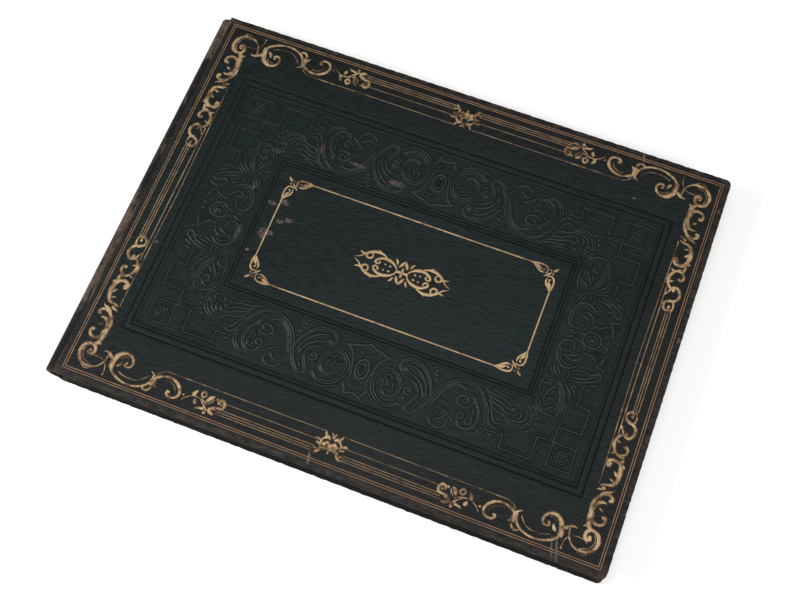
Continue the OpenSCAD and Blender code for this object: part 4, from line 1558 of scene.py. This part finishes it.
@dataclass
class CoverSkin:
    """Leather over one cover: its face with the blind panel, the edges and the turn-ins."""

    side: Side
    step: float = 1.9
    outer_half: tuple[float, float] = (117.9, 74.9)
    inner_half: tuple[float, float] = (81.1, 38.0)
    # Distance inside the line at which each frame begins, drop of the leather there, and its darkness:
    # partly the darkening of the hot tool, partly painted shade in the grooves.
    outer_profile: tuple[tuple[float, float, float], ...] = (
        (-1.4, 0.0, 0.0), (-0.7, 0.03, 0.1), (-0.25, 0.24, 1.0), (0.25, 0.24, 1.0), (0.7, 0.03, 0.1),
        (1.3, 0.02, 0.0), (2.3, 0.04, 0.0), (2.75, 0.04, 0.1), (3.15, 0.32, 1.0), (3.6, 0.32, 1.0),
        (3.95, 0.03, 0.1), (4.5, 0.03, 0.0), (5.0, 0.3, 0.8), (5.9, 0.3, 0.0))
    inner_profile: tuple[tuple[float, float, float], ...] = (
        (-1.4, 0.3, 0.0), (-0.5, 0.3, 0.8), (0.0, 0.04, 0.1), (0.5, 0.03, 0.0), (0.85, 0.3, 1.0),
        (1.25, 0.3, 1.0), (1.6, 0.03, 0.1), (2.1, 0.03, 0.0), (2.5, 0.26, 1.0), (2.9, 0.26, 1.0),
        (3.3, 0.03, 0.1), (4.4, 0.02, 0.0))
    # Insets where the face begins to round off and how far it sinks there, then the angles round
    # its edge and the heights down its flank, and how far wear has eaten into both.
    shoulder: tuple[float, ...] = (2.4, 1.8)
    sink: float = 0.02
    turns: tuple[float, ...] = (0.25, 0.6, 0.95, 1.3, math.pi / 2)
    flank: tuple[float, ...] = (1.7, 1.1, 0.5)
    dent: float = 0.28

    def stations(self, low: float, high: float, middle: float, halves: tuple[float, float]) -> np.ndarray:
        """Grid lines in one direction: even ones, and one at each bend of the two frames.

        Args:
            low: First line.
            high: Last line.
            middle: Middle of the frames.
            halves: Half sizes of the outer and of the inner frame in this direction.

        Returns:
            Sorted places.
        """
        bends = [middle + sign * (half - inset)
                 for half, profile in zip(halves, (self.outer_profile, self.inner_profile))
                 for inset, _, _ in profile for sign in (-1, 1)]
        even = [v for v in np.linspace(low, high, round((high - low) / self.step) + 1)
                if min(abs(v - bend) for bend in bends) > 0.25 or v in (low, high)]
        return np.array(sorted({round(float(v), 4) for v in (*even, *bends)}))

    def frames(self, x: np.ndarray, y: np.ndarray) -> tuple[np.ndarray, np.ndarray]:
        """The drop of the blocking under the plain face, and how dark its grooves are painted: partly the
        hot tool's darkening, partly painted shade.
        """
        dx, dy = np.abs(x - SIZES.middle_x), np.abs(y)
        outer = np.minimum(self.outer_half[0] - dx, self.outer_half[1] - dy)
        inner = np.minimum(self.inner_half[0] - dx, self.inner_half[1] - dy)
        made = []
        for column, ground in ((1, SIZES.ground_drop), (2, 0.0)):
            at, value = zip(*((row[0], row[column]) for row in self.outer_profile))
            frame = np.interp(outer, at, value, left=0.0, right=ground)
            at, value = zip(*((row[0], row[column]) for row in self.inner_profile))
            made.append(np.where(inner > at[0], np.interp(inner, at, value), frame))
        return made[0], made[1]

    def face_height(self, x: np.ndarray, y: np.ndarray) -> np.ndarray:
        """Height of the leather's face."""
        return SIZES.face + lie(x, y) - self.frames(x, y)[0]

    def wrap(self, xs: np.ndarray, ys: np.ndarray) -> Wrap:
        """Lay the wrap's start along the last grid lines of the face.

        Args:
            xs: Grid lines along the cover.
            ys: Grid lines across it.

        Returns:
            The wrap, without rows yet.
        """
        x1, y1 = float(xs[-1]), float(ys[-1])
        quarter = np.linspace(0, math.pi / 2, 9)
        way = [(x, y1, 0.0, 1.0) for x in xs[:-1]]
        way += [(x1, y1, math.sin(a), math.cos(a)) for a in quarter]
        way += [(x1, y, 1.0, 0.0) for y in ys[::-1][1:-1]]
        way += [(x1, -y1, math.cos(a), -math.sin(a)) for a in quarter]
        way += [(x, -y1, 0.0, -1.0) for x in xs[::-1][1:]]
        return Wrap(*(np.array(column, float) for column in zip(*way)), SIZES.corner_r)

    def mesh(self) -> tuple[np.ndarray, Faces]:
        """Points and faces of the skin of the front cover."""
        s = SIZES
        inset, r = s.corner_r, s.edge_r
        xs = self.stations(s.skin_x, s.fore_x - inset, s.middle_x, (self.outer_half[0], self.inner_half[0]))
        ys = self.stations(inset - s.half_h, s.half_h - inset, 0.0, (self.outer_half[1], self.inner_half[1]))
        gx, gy = np.meshgrid(xs, ys)
        under, low = s.top - s.leather_t, s.top - s.cover_t
        glued = low + s.paste_t
        wrap = self.wrap(xs, ys)
        wrap.add(inset, self.face_height(wrap.x, wrap.y), inset, under)
        for depth in self.shoulder:
            wrap.add(depth, self.face_height(*wrap.at(depth)) - self.sink, depth, under)
        for a in self.turns:
            height = s.face - self.sink - r + r * math.cos(a)
            wrap.add(r - r * math.sin(a), height, s.leather_t, under, self.dent)
        for z in (low + rise for rise in self.flank):
            wrap.add(0.0, z, s.leather_t, max(z, glued), self.dent)
        wrap.add(0.12, low + 0.12, s.leather_t, glued, 0.05)
        wrap.add(0.5, low, s.leather_t, glued)
        wrap.add(inset, low, inset, glued)
        # The turn-ins end in straight lines, so the last row leaves the curve of the corners.
        end_x, end_y = s.fore_x - s.turn_in, s.half_h - s.turn_in
        wx = np.where(wrap.out_x**2 > 0, end_x, np.minimum(wrap.x, end_x))
        wy = np.clip(wrap.y, -end_y, end_y)
        wrap.outer.append(rows(wx, wy, low))
        wrap.inner.append(rows(wx, wy, glued))
        start = gx.size
        faces = grid_faces(len(ys), len(xs))
        faces += [tuple(start + k for k in reversed(face))
                  for face in grid_faces(len(wrap.outer), len(wrap.x))]
        outer = np.vstack([rows(gx, gy, self.face_height(gx, gy)), *wrap.outer])
        return shell(outer, np.vstack([rows(gx, gy, under), *wrap.inner]), faces)

    def build(self, leather: Material) -> Piece:
        """Make the skin and let it stand for the cover's leather."""
        points, faces = self.mesh()
        if self.side is Side.BACK:
            points = turned_over(points)
        piece = solid(f"{self.side.value}_cover_skin", points, faces, leather)
        x, y, _ = places(piece.data).T
        carry(piece.data, "groove_shade", self.frames(x, y)[1])
        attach(piece, f"{self.side.value}_cover")
        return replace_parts(piece, f"{self.side.value}_cover_leather")


@dataclass
class Fray:
    """Crumbs of rubbed leather along the edges of one cover."""

    side: Side
    count: int = 620
    seed: int = 11
    size: tuple[float, float] = (0.14, 0.42)
    reach: tuple[float, float] = (0.02, 0.16)
    flatness: float = 0.8
    # How far under the face the crumbs sit, and the share of them at each of these depths.
    depths: tuple[float, ...] = (0.55, 0.8, 1.3, 2.6)
    shares: tuple[float, ...] = (0.45, 0.25, 0.15, 0.15)

    def build(self, leather: Material) -> Piece:
        """Scatter the crumbs inside the cover's outline and join them into one piece.

        Args:
            leather: Their material.

        Returns:
            The piece.
        """
        s = SIZES
        random = np.random.default_rng(self.seed + (self.side is Side.BACK))
        form = bmesh.new()
        bmesh.ops.create_icosphere(form, subdivisions=1, radius=1.0)
        ball = np.array([v.co[:] for v in form.verts])
        ring = [tuple(v.index for v in f.verts) for f in form.faces]
        form.free()
        around = 2 * (s.fore_x - s.skin_x) + 2 * s.half_h
        points, faces = [], []
        for start in np.sort(random.uniform(0, around, self.count)):
            size = random.uniform(*self.size, 3) * (1.0, 1.0, self.flatness)
            z = s.top - random.choice(self.depths, p=self.shares)
            reach = random.uniform(*self.reach)
            x, y = self._place(float(start), float(size.max()) + reach)
            bent = ball * (1 + 0.25 * random.standard_normal((len(ball), 1))).clip(0.6, 1.0)
            faces += [tuple(len(ball) * len(points) + k for k in face) for face in ring]
            points.append(bent * size + (x, y, z - size[2]))
        crumbs = np.vstack(points)
        if self.side is Side.BACK:
            crumbs = turned_over(crumbs)
        piece = solid(f"{self.side.value}_frayed_edge", crumbs, faces, leather)
        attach(piece, f"{self.side.value}_cover")
        return piece

    @staticmethod
    def _place(run: float, inset: float) -> tuple[float, float]:
        """A place on the outline, by its distance along head, fore-edge and tail."""
        s = SIZES
        length, cut = s.fore_x - s.skin_x, s.corner_r * 0.3
        if run < length:
            return min(s.skin_x + run, s.fore_x - s.corner_r), s.half_h - inset
        run -= length
        if run < 2 * s.half_h:
            y = s.half_h - run
            if abs(y) > s.half_h - s.corner_r:
                return s.fore_x - cut - inset, math.copysign(s.half_h - cut - inset, y)
            return s.fore_x - inset, y
        return min(s.fore_x - (run - 2 * s.half_h), s.fore_x - s.corner_r), inset - s.half_h


@dataclass
class Tooling:
    """Gilt and blind ornament of one cover."""

    side: Side
    tree: ToolingTree
    # Longest distance between two points of a line: in the frame, the panel, and the blind ribs.
    frame_step: float = 0.7
    panel_step: float = 0.5
    blind_step: float = 1.0
    frame_weight: float = 1.04
    panel_drop: float = 0.02
    # A bold stem's two ridges: their distance as a share of the stem's width, and their width.
    pair_gap: float = 0.62
    pair_width: float = 0.75
    bed_margin: float = 1.3
    ribs: dict[Tool, Rib] = field(default_factory=lambda: {
        Tool.GILT: Rib(0.035, 0.072), Tool.BLIND: Rib(0.24, 0.32, 0.35), Tool.BED: Rib(0.05, 0.05)})

    def _press(self, name: str, lines: list[Line], tool: Tool, level: float,
               finish: Material) -> Piece:
        """Press lines with the shape of rib that the tool leaves."""
        piece = self.tree.press(
            f"{self.side.value}_{name}", lines, self.ribs[tool], level, finish, self.side,
            "groove_shade" if tool is Tool.BED else "crown",
        )
        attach(piece, f"{self.side.value}_cover")
        return piece

    def build(self, gold: Material, leather: Material,
              plain: Material) -> list[Piece]:
        """Make every ornament of the cover.

        Args:
            gold: Gold leaf, for the front cover.
            leather: Pressed leather.
            plain: Leather of the cover itself, for the dark beds round the blind ornament, partly the hot
                tool's darkening and partly painted shadow beside the ridges.

        Returns:
            The pieces.
        """
        finish = gold if self.side is Side.FRONT else leather
        frame = [stroke.line(self.frame_step) for stroke in GiltFrame().strokes()]
        frame = [(line, width * self.frame_weight) for line, width in frame]
        made = [self._press("tooled_frame", frame, Tool.GILT, SIZES.face, finish)]
        drawn = {"tooled_panel": GiltPanel().strokes()}
        if self.side is Side.FRONT:
            drawn["flourish"] = Flourish().strokes()
        for name, strokes in drawn.items():
            lines = [stroke.line(self.panel_step) for stroke in strokes]
            made.append(self._press(name, lines, Tool.GILT, SIZES.face - self.panel_drop, finish))
        ground = SIZES.face - SIZES.ground_drop
        scrolls = BlindScrolls()
        ribs = [line for stroke in scrolls.bold
                for line in stroke.beside(self.pair_gap, self.pair_width, self.blind_step)]
        fine = (*scrolls.run_leaves, *scrolls.middle, *scrolls.side_leaves)
        ribs += [stroke.line(self.blind_step) for stroke in fine]
        keys = [stroke.line(self.blind_step) for stroke in BlindKeys().strokes()]
        # A dark bed under each ridge, wider by the margin: partly the hot tool's darkening, partly painted
        # shadow beside the ridges.
        shadow_beds = [(line, width + self.bed_margin) for line, width in (*ribs, *keys)]
        made.append(self._press("blind_scrolls", ribs, Tool.BLIND, ground, leather))
        made.append(self._press("blind_keys", keys, Tool.BLIND, ground, leather))
        made.append(self._press("blind_shadow_bed", shadow_beds, Tool.BED, ground, plain))
        return made


@dataclass
class Back:
    """Leather of the spine with its headcaps, and of the joints that let the covers turn."""

    steps: int = 90
    # Section of a headcap, from the hidden end of its roll to the straight back: each point's drop
    # under the back and its distance from the spine's end.
    cap: Way = (
        (1.2, 0.92), (2.3, 0.98), (2.75, 0.8), (2.6, 0.45), (2.6, 0.1), (1.5, 0.0), (0.75, 0.02),
        (0.25, 0.25), (0.03, 0.75), (0.0, 1.6), (0.06, 3.0))
    cap_dent: float = 0.10
    joint_dent: float = 0.05

    def _strip(self, name: str, outer: np.ndarray, inner: np.ndarray, ends: np.ndarray,
               dent: float, leather: Material) -> Piece:
        """Run a section along the spine.

        Args:
            name: The piece's name.
            outer: Outer line of the section, in x and z.
            inner: Inner line, with as many points.
            ends: Places along the spine.
            dent: How uneven the outer face is.
            leather: Its material.

        Returns:
            The piece.
        """
        x, z = outer.T
        normal = outer - inner
        normal = normal / np.linalg.norm(normal, axis=1, keepdims=True)
        out = []
        for y in ends:
            push = dent * np.minimum(wobble(x * 2, z * 2, y + 0 * x) - 0.4, 0)
            px, pz = (outer + normal * push[:, None]).T
            out.append(rows(px, y, pz))
        ins = [rows(inner[:, 0], y, inner[:, 1]) for y in ends]
        points, faces = shell(np.vstack(out), np.vstack(ins), grid_faces(len(ends), len(outer)))
        return solid(name, points, faces, leather)

    def spine(self, leather: Material) -> Piece:
        """Half-round back, rolled in over its ends and worn there."""
        s = SIZES
        half, inner_r = s.half_spine, s.spine_r - s.leather_t
        plan = [(s.spine_r - drop, -half + d) for drop, d in self.cap]
        plan += [(s.spine_r, y) for y in np.linspace(-half + 5, half - 5, self.steps)]
        plan += [(s.spine_r - drop, half - d) for drop, d in reversed(self.cap)]
        plan += [(inner_r, y) for y in np.linspace(half - 1.2, 1.2 - half, self.steps)]
        radius, y = np.array(plan).T
        turns = np.linspace(math.pi / 2, 3 * math.pi / 2, 25)
        points = []
        for a in turns:
            worn = self.cap_dent * np.minimum(wobble(y, radius + a * 5, a * 9 + 0 * radius) - 0.3, 0)
            worn = np.where(radius > s.spine_r - 0.5, worn, 0) * math.sin(a - math.pi / 2)
            r = radius + worn
            points.append(rows(s.spine_x + r * math.cos(a), y, s.mid_z + r * math.sin(a)))
        n = len(plan)
        faces: Faces = [
            (k * n + c, k * n + (c + 1) % n, (k + 1) * n + (c + 1) % n, (k + 1) * n + c)
            for k in range(len(turns) - 1) for c in range(n)
        ]
        last = (len(turns) - 1) * n
        faces.append(tuple(range(n))[::-1])
        faces.append(tuple(range(last, last + n)))
        piece = solid("spine_back", np.vstack(points), faces, leather)
        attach(piece, "text_block")
        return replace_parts(piece, "spine_leather")

    def joint(self, side: Side, leather: Material) -> Piece:
        """Leather from the edge of a cover down to the spine, round the joint.

        Args:
            side: The cover.
            leather: Its material.

        Returns:
            The piece.
        """
        s = SIZES
        half = s.leather_t / 2
        outer_z = s.top - half - s.outer_bend
        inner_z = s.mid_z + s.spine_r - half + s.inner_bend
        mid, way = [], []
        for a in np.linspace(0, math.pi / 2, 10):
            mid.append((s.skin_x - s.outer_bend * math.sin(a), outer_z + s.outer_bend * math.cos(a)))
            way.append((-math.sin(a), math.cos(a)))
        for share in (0.35, 0.7):
            mid.append((s.hinge_x, outer_z + share * (inner_z - outer_z)))
            way.append((-1.0, 0.0))
        for a in np.linspace(0, math.pi / 2, 10):
            mid.append((s.spine_x + s.inner_bend * math.cos(a), inner_z - s.inner_bend * math.sin(a)))
            way.append((-math.cos(a), math.sin(a)))
        line, normal = np.array(mid), np.array(way)
        drop = s.face_drop * np.linspace(1, 0, len(line))[:, None]
        outer, inner = line + normal * (half - drop), line - normal * half
        start = Vector((s.spine_x - 0.4, 0, s.mid_z + s.spine_r - 0.3))
        end = Vector((s.skin_x, 0, s.top - 0.7))
        if side is Side.BACK:
            outer, inner = outer * (1, -1) + (0, s.top), inner * (1, -1) + (0, s.top)
            start.z, end.z = s.top - start.z, s.top - end.z
        ends = np.linspace(-s.half_spine, s.half_spine, self.steps)
        piece = self._strip(
            f"{side.value}_joint", outer[::-1], inner[::-1], ends, self.joint_dent, leather)
        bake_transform(piece)
        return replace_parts(piece, f"{side.value}_joint_leather")


@dataclass
class Guards:
    """Linen strips that carry the leaves.

    The field straight, the last of a strip's free width, is not used.
    """

    columns: int = 40
    straight: float = 1.0

    def build(self, linen: Material) -> list[Piece]:
        """Make every guard."""
        s = SIZES
        under = {"front_flyleaf": s.front_fly_z, "back_flyleaf": s.back_fly_z}
        for k in range(1, s.leaf_count + 1):
            under[f"leaf_{k:02d}"] = s.leaf_top - s.leaf_pitch * (k - 1)
        made = []
        for leaf, z in under.items():
            node = leaf.replace("leaf_", "guard_") if leaf.startswith("leaf_") else f"{leaf}_guard"
            made.append(self._strip(node, leaf, z, linen))
        return made

    def _strip(self, node: str, leaf: str, z: float, linen: Material) -> Piece:
        """One guard.

        Args:
            node: The node that it replaces.
            leaf: The leaf that it carries.
            z: Height of the leaf's underside.
            linen: Its material.

        Returns:
            The piece.
        """
        s = SIZES
        xs = np.concatenate([np.linspace(s.stub_x, s.leaf_x, self.columns),
                             np.linspace(s.leaf_x, s.lap_x, 6)[1:]])
        ys = np.linspace(-s.half_leaf, s.half_leaf, 24)
        gx, gy = np.meshgrid(xs, ys)
        top = rows(gx, gy, z)
        points, faces = shell(top, top - (0, 0, s.guard_t), grid_faces(len(ys), len(xs)))
        piece = solid(f"{node}_linen", points, faces, linen)
        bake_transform(piece)
        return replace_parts(piece, node)


@dataclass
class Endbands:
    """Silk-wound rolls at the head and the tail of the leaves."""

    tree: WindingTree
    turns: int = 34
    thread: float = 0.13
    # Where each roll begins and ends on the rounded back, in degrees from the fore-edge.
    arc: tuple[float, float] = (114.5, 245.5)

    def build(self, silk: Material) -> list[Piece]:
        """Make both rolls."""
        s = SIZES
        angles = np.radians(np.linspace(*self.arc, 40))
        radius = s.back_r - s.roll_r
        values = {"Turns": self.turns, "Roll": (s.roll_r - self.thread) * MM, "Thread": self.thread * MM}
        made = []
        for name, sign in (("headband", 1), ("tailband", -1)):
            path = rows(s.back_x + radius * np.cos(angles), sign * s.roll_y,
                        s.mid_z + radius * np.sin(angles))
            wound = self.tree.make(f"{name}_silk", [path], silk, values)
            smooth(wound)
            piece = link(f"{name}_silk", wound)
            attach(piece, "text_block")
            made.append(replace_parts(piece, name))
        return made


@dataclass
class Block:
    """CAD nodes that keep their shape and get their own finishes."""

    nodes: dict[str, Piece]

    def finishes(self) -> dict[str, Union[PaperStock, Linen, Pasteboard]]:
        """The finish of each group of nodes, by a pattern that their whole names fit."""
        return {
            "leaf_.*": PaperStock("album_card", (0.66, 0.57, 0.42), (0.52, 0.40, 0.25), True),
            ".*flyleaf": PaperStock("flyleaf_paper", (0.72, 0.64, 0.49), (0.56, 0.44, 0.28), True, 0.7),
            ".*pastedown": PaperStock(
                "endpaper", (0.70, 0.62, 0.46), (0.53, 0.43, 0.28), foxing=0.7, roughness=0.7),
            "spine_lining|hollow_tube": PaperStock(
                "lining_paper", (0.33, 0.23, 0.135), (0.24, 0.16, 0.09), foxing=0.2),
            "guard_stubs": PaperStock("stub_card", (0.58, 0.49, 0.35), (0.42, 0.32, 0.20), True, 0.2),
            ".*tape.*": Linen("linen_tape", (0.62, 0.56, 0.44), (0.36, 0.31, 0.22), 0.7),
            ".*board": Pasteboard(),
        }

    def dress(self) -> list[str]:
        """Make the finishes and give each carried-over node its own.

        Returns:
            Names of the dressed nodes.
        """
        dressed: list[str] = []
        for pattern, finish in self.finishes().items():
            made = finish.build()
            for node in filter(re.compile(pattern).fullmatch, self.nodes):
                materials = self.nodes[node].data.materials
                materials.clear()
                materials.append(made)
                dressed.append(node)
        return sorted(dressed)


@dataclass(frozen=True)
class Lamp:
    """A soft square lamp that faces the album, with its place and its side in metres."""

    name: str
    place: tuple[float, float, float]
    side: float
    watts: float

    def hang(self) -> None:
        """Put the lamp into the scene."""
        data = bpy.data.lights.new(self.name, "AREA")
        data.shape = "SQUARE"
        data.size = self.side
        data.energy = self.watts
        made = link(self.name, data)
        made.location = self.place
        made.rotation_euler = (-Vector(self.place)).to_track_quat("-Z", "Y").to_euler()


@dataclass(frozen=True)
class Studio:
    """Pale floor, three soft lamps and the camera.

    The camera's places are in millimetres. Near and far are distances in metres between which the
    floor's glow rises.
    """

    eye: tuple[float, float, float] = (86.85, -207.17, 568.91)
    target: tuple[float, float, float] = (7.36, -13.64, 16.45)
    roll: float = -1.428
    lens: float = 53.95
    sensor: float = 36.0
    reach: float = 40.0
    tone: float = 0.80
    glow: tuple[float, float] = (0.42, 0.80)
    near: float = 0.4
    far: float = 2.2
    surround: float = 0.26
    lamps: tuple[Lamp, ...] = (
        Lamp("overhead", (0.06, -0.02, 1.30), 0.8, 4.5),
        Lamp("left", (-1.03, -0.42, 0.78), 0.4, 12.0),
        Lamp("right", (1.25, -0.80, 0.80), 0.4, 10.0),
    )

    def camera(self) -> None:
        """Set the camera where the photographer's stood."""
        data = bpy.data.cameras.new("camera")
        data.lens = self.lens
        data.sensor_width = self.sensor
        data.clip_start, data.clip_end = 0.01, 50.0
        made = link("camera", data)
        eye, target = Vector(self.eye), Vector(self.target)
        ahead = (target - eye).normalized()
        right = ahead.cross(Vector((0, 0, 1))).normalized()
        up = right.cross(ahead)
        turn = math.radians(self.roll)
        across = right * math.cos(turn) + up * math.sin(turn)
        upright = up * math.cos(turn) - right * math.sin(turn)
        basis = Matrix((across, upright, -ahead)).transposed()
        made.matrix_world = Matrix.Translation(eye * MM) @ basis.to_4x4()
        bpy.context.scene.camera = made

    def floor(self) -> None:
        """Lay a pale floor that stays white to the camera and keeps the shadow."""
        mesh = bpy.data.meshes.new("floor")
        corners = [(x * self.reach, y * self.reach, 0) for x, y in ((-1, -1), (1, -1), (1, 1), (-1, 1))]
        mesh.from_pydata(corners, [], [(0, 1, 2, 3)])
        material = bpy.data.materials.new("pale_floor")
        b = Bench(cleared(material))
        rays = b.node("ShaderNodeLightPath").outputs
        camera, glossy, through = (
            Term(b, rays[f"Is {kind} Ray"]) for kind in ("Camera", "Glossy", "Transmission"))
        x, y, _ = b.split(b.node("ShaderNodeTexCoord").outputs["Object"])
        away = (x * x + y * y) ** 0.5
        strength = self.glow[0] + away.rise(self.near, self.far) * (self.glow[1] - self.glow[0])
        diffuse = b.node("ShaderNodeBsdfDiffuse", None, {"Color": (self.tone,) * 3})
        glow = b.node("ShaderNodeEmission", None, {
            "Color": (1.0, 1.0, 1.0), "Strength": camera.most(glossy).most(through) * strength})
        both = b.node("ShaderNodeAddShader", None, {0: diffuse.outputs[0], 1: glow.outputs[0]})
        b.node("ShaderNodeOutputMaterial", None, {"Surface": both.outputs[0]})
        mesh.materials.append(material)
        link("floor", mesh)

    def world(self) -> None:
        """Even, dim surroundings, so that the lamps show the relief."""
        made = bpy.data.worlds.new("studio")
        bpy.context.scene.world = made
        b = Bench(cleared(made))
        light = b.node("ShaderNodeBackground", None, {"Color": (1.0, 1.0, 1.0), "Strength": self.surround})
        b.node("ShaderNodeOutputWorld", None, {"Surface": light.outputs[0]})

    def build(self) -> None:
        """Set up the whole studio."""
        bpy.context.scene.view_settings.view_transform = "Standard"
        self.camera()
        self.floor()
        self.world()
        for lamp in self.lamps:
            lamp.hang()


def main(nodes: dict[str, Piece]) -> None:
    """Dress the whole album.

    Args:
        nodes: The solids of the construction by name.
    """
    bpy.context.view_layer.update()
    Studio().build()
    leather = BlockedLeather().build()
    pressed = BlockedLeather("pressed_leather", pressed=True).build()
    gold = GoldLeaf().build()
    back = SpineLeather().build()
    tooling = ToolingTree()
    for side in Side:
        LOG.info("made %s", CoverSkin(side).build(leather).name)
        LOG.info("made %s", Fray(side).build(leather).name)
        for piece in Tooling(side, tooling).build(gold, pressed, leather):
            LOG.info("made %s with %d faces", piece.name, len(piece.data.polygons))
    spine = Back()
    LOG.info("made %s", spine.spine(back).name)
    for side in Side:
        LOG.info("made %s", spine.joint(side, back).name)
    linen = Linen("guard_linen", (0.64, 0.59, 0.48), (0.40, 0.35, 0.26), 0.45).build()
    for piece in Guards().build(linen):
        LOG.info("made %s", piece.name)
    for piece in Endbands(WindingTree()).build(Silk().build()):
        LOG.info("made %s", piece.name)
    for node in Block(nodes).dress():
        LOG.info("dressed %s", node)


if __name__ == "__main__":
    logging.basicConfig(level=logging.INFO, format="%(name)s: %(message)s", stream=sys.stdout)
    main(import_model()["nodes"])
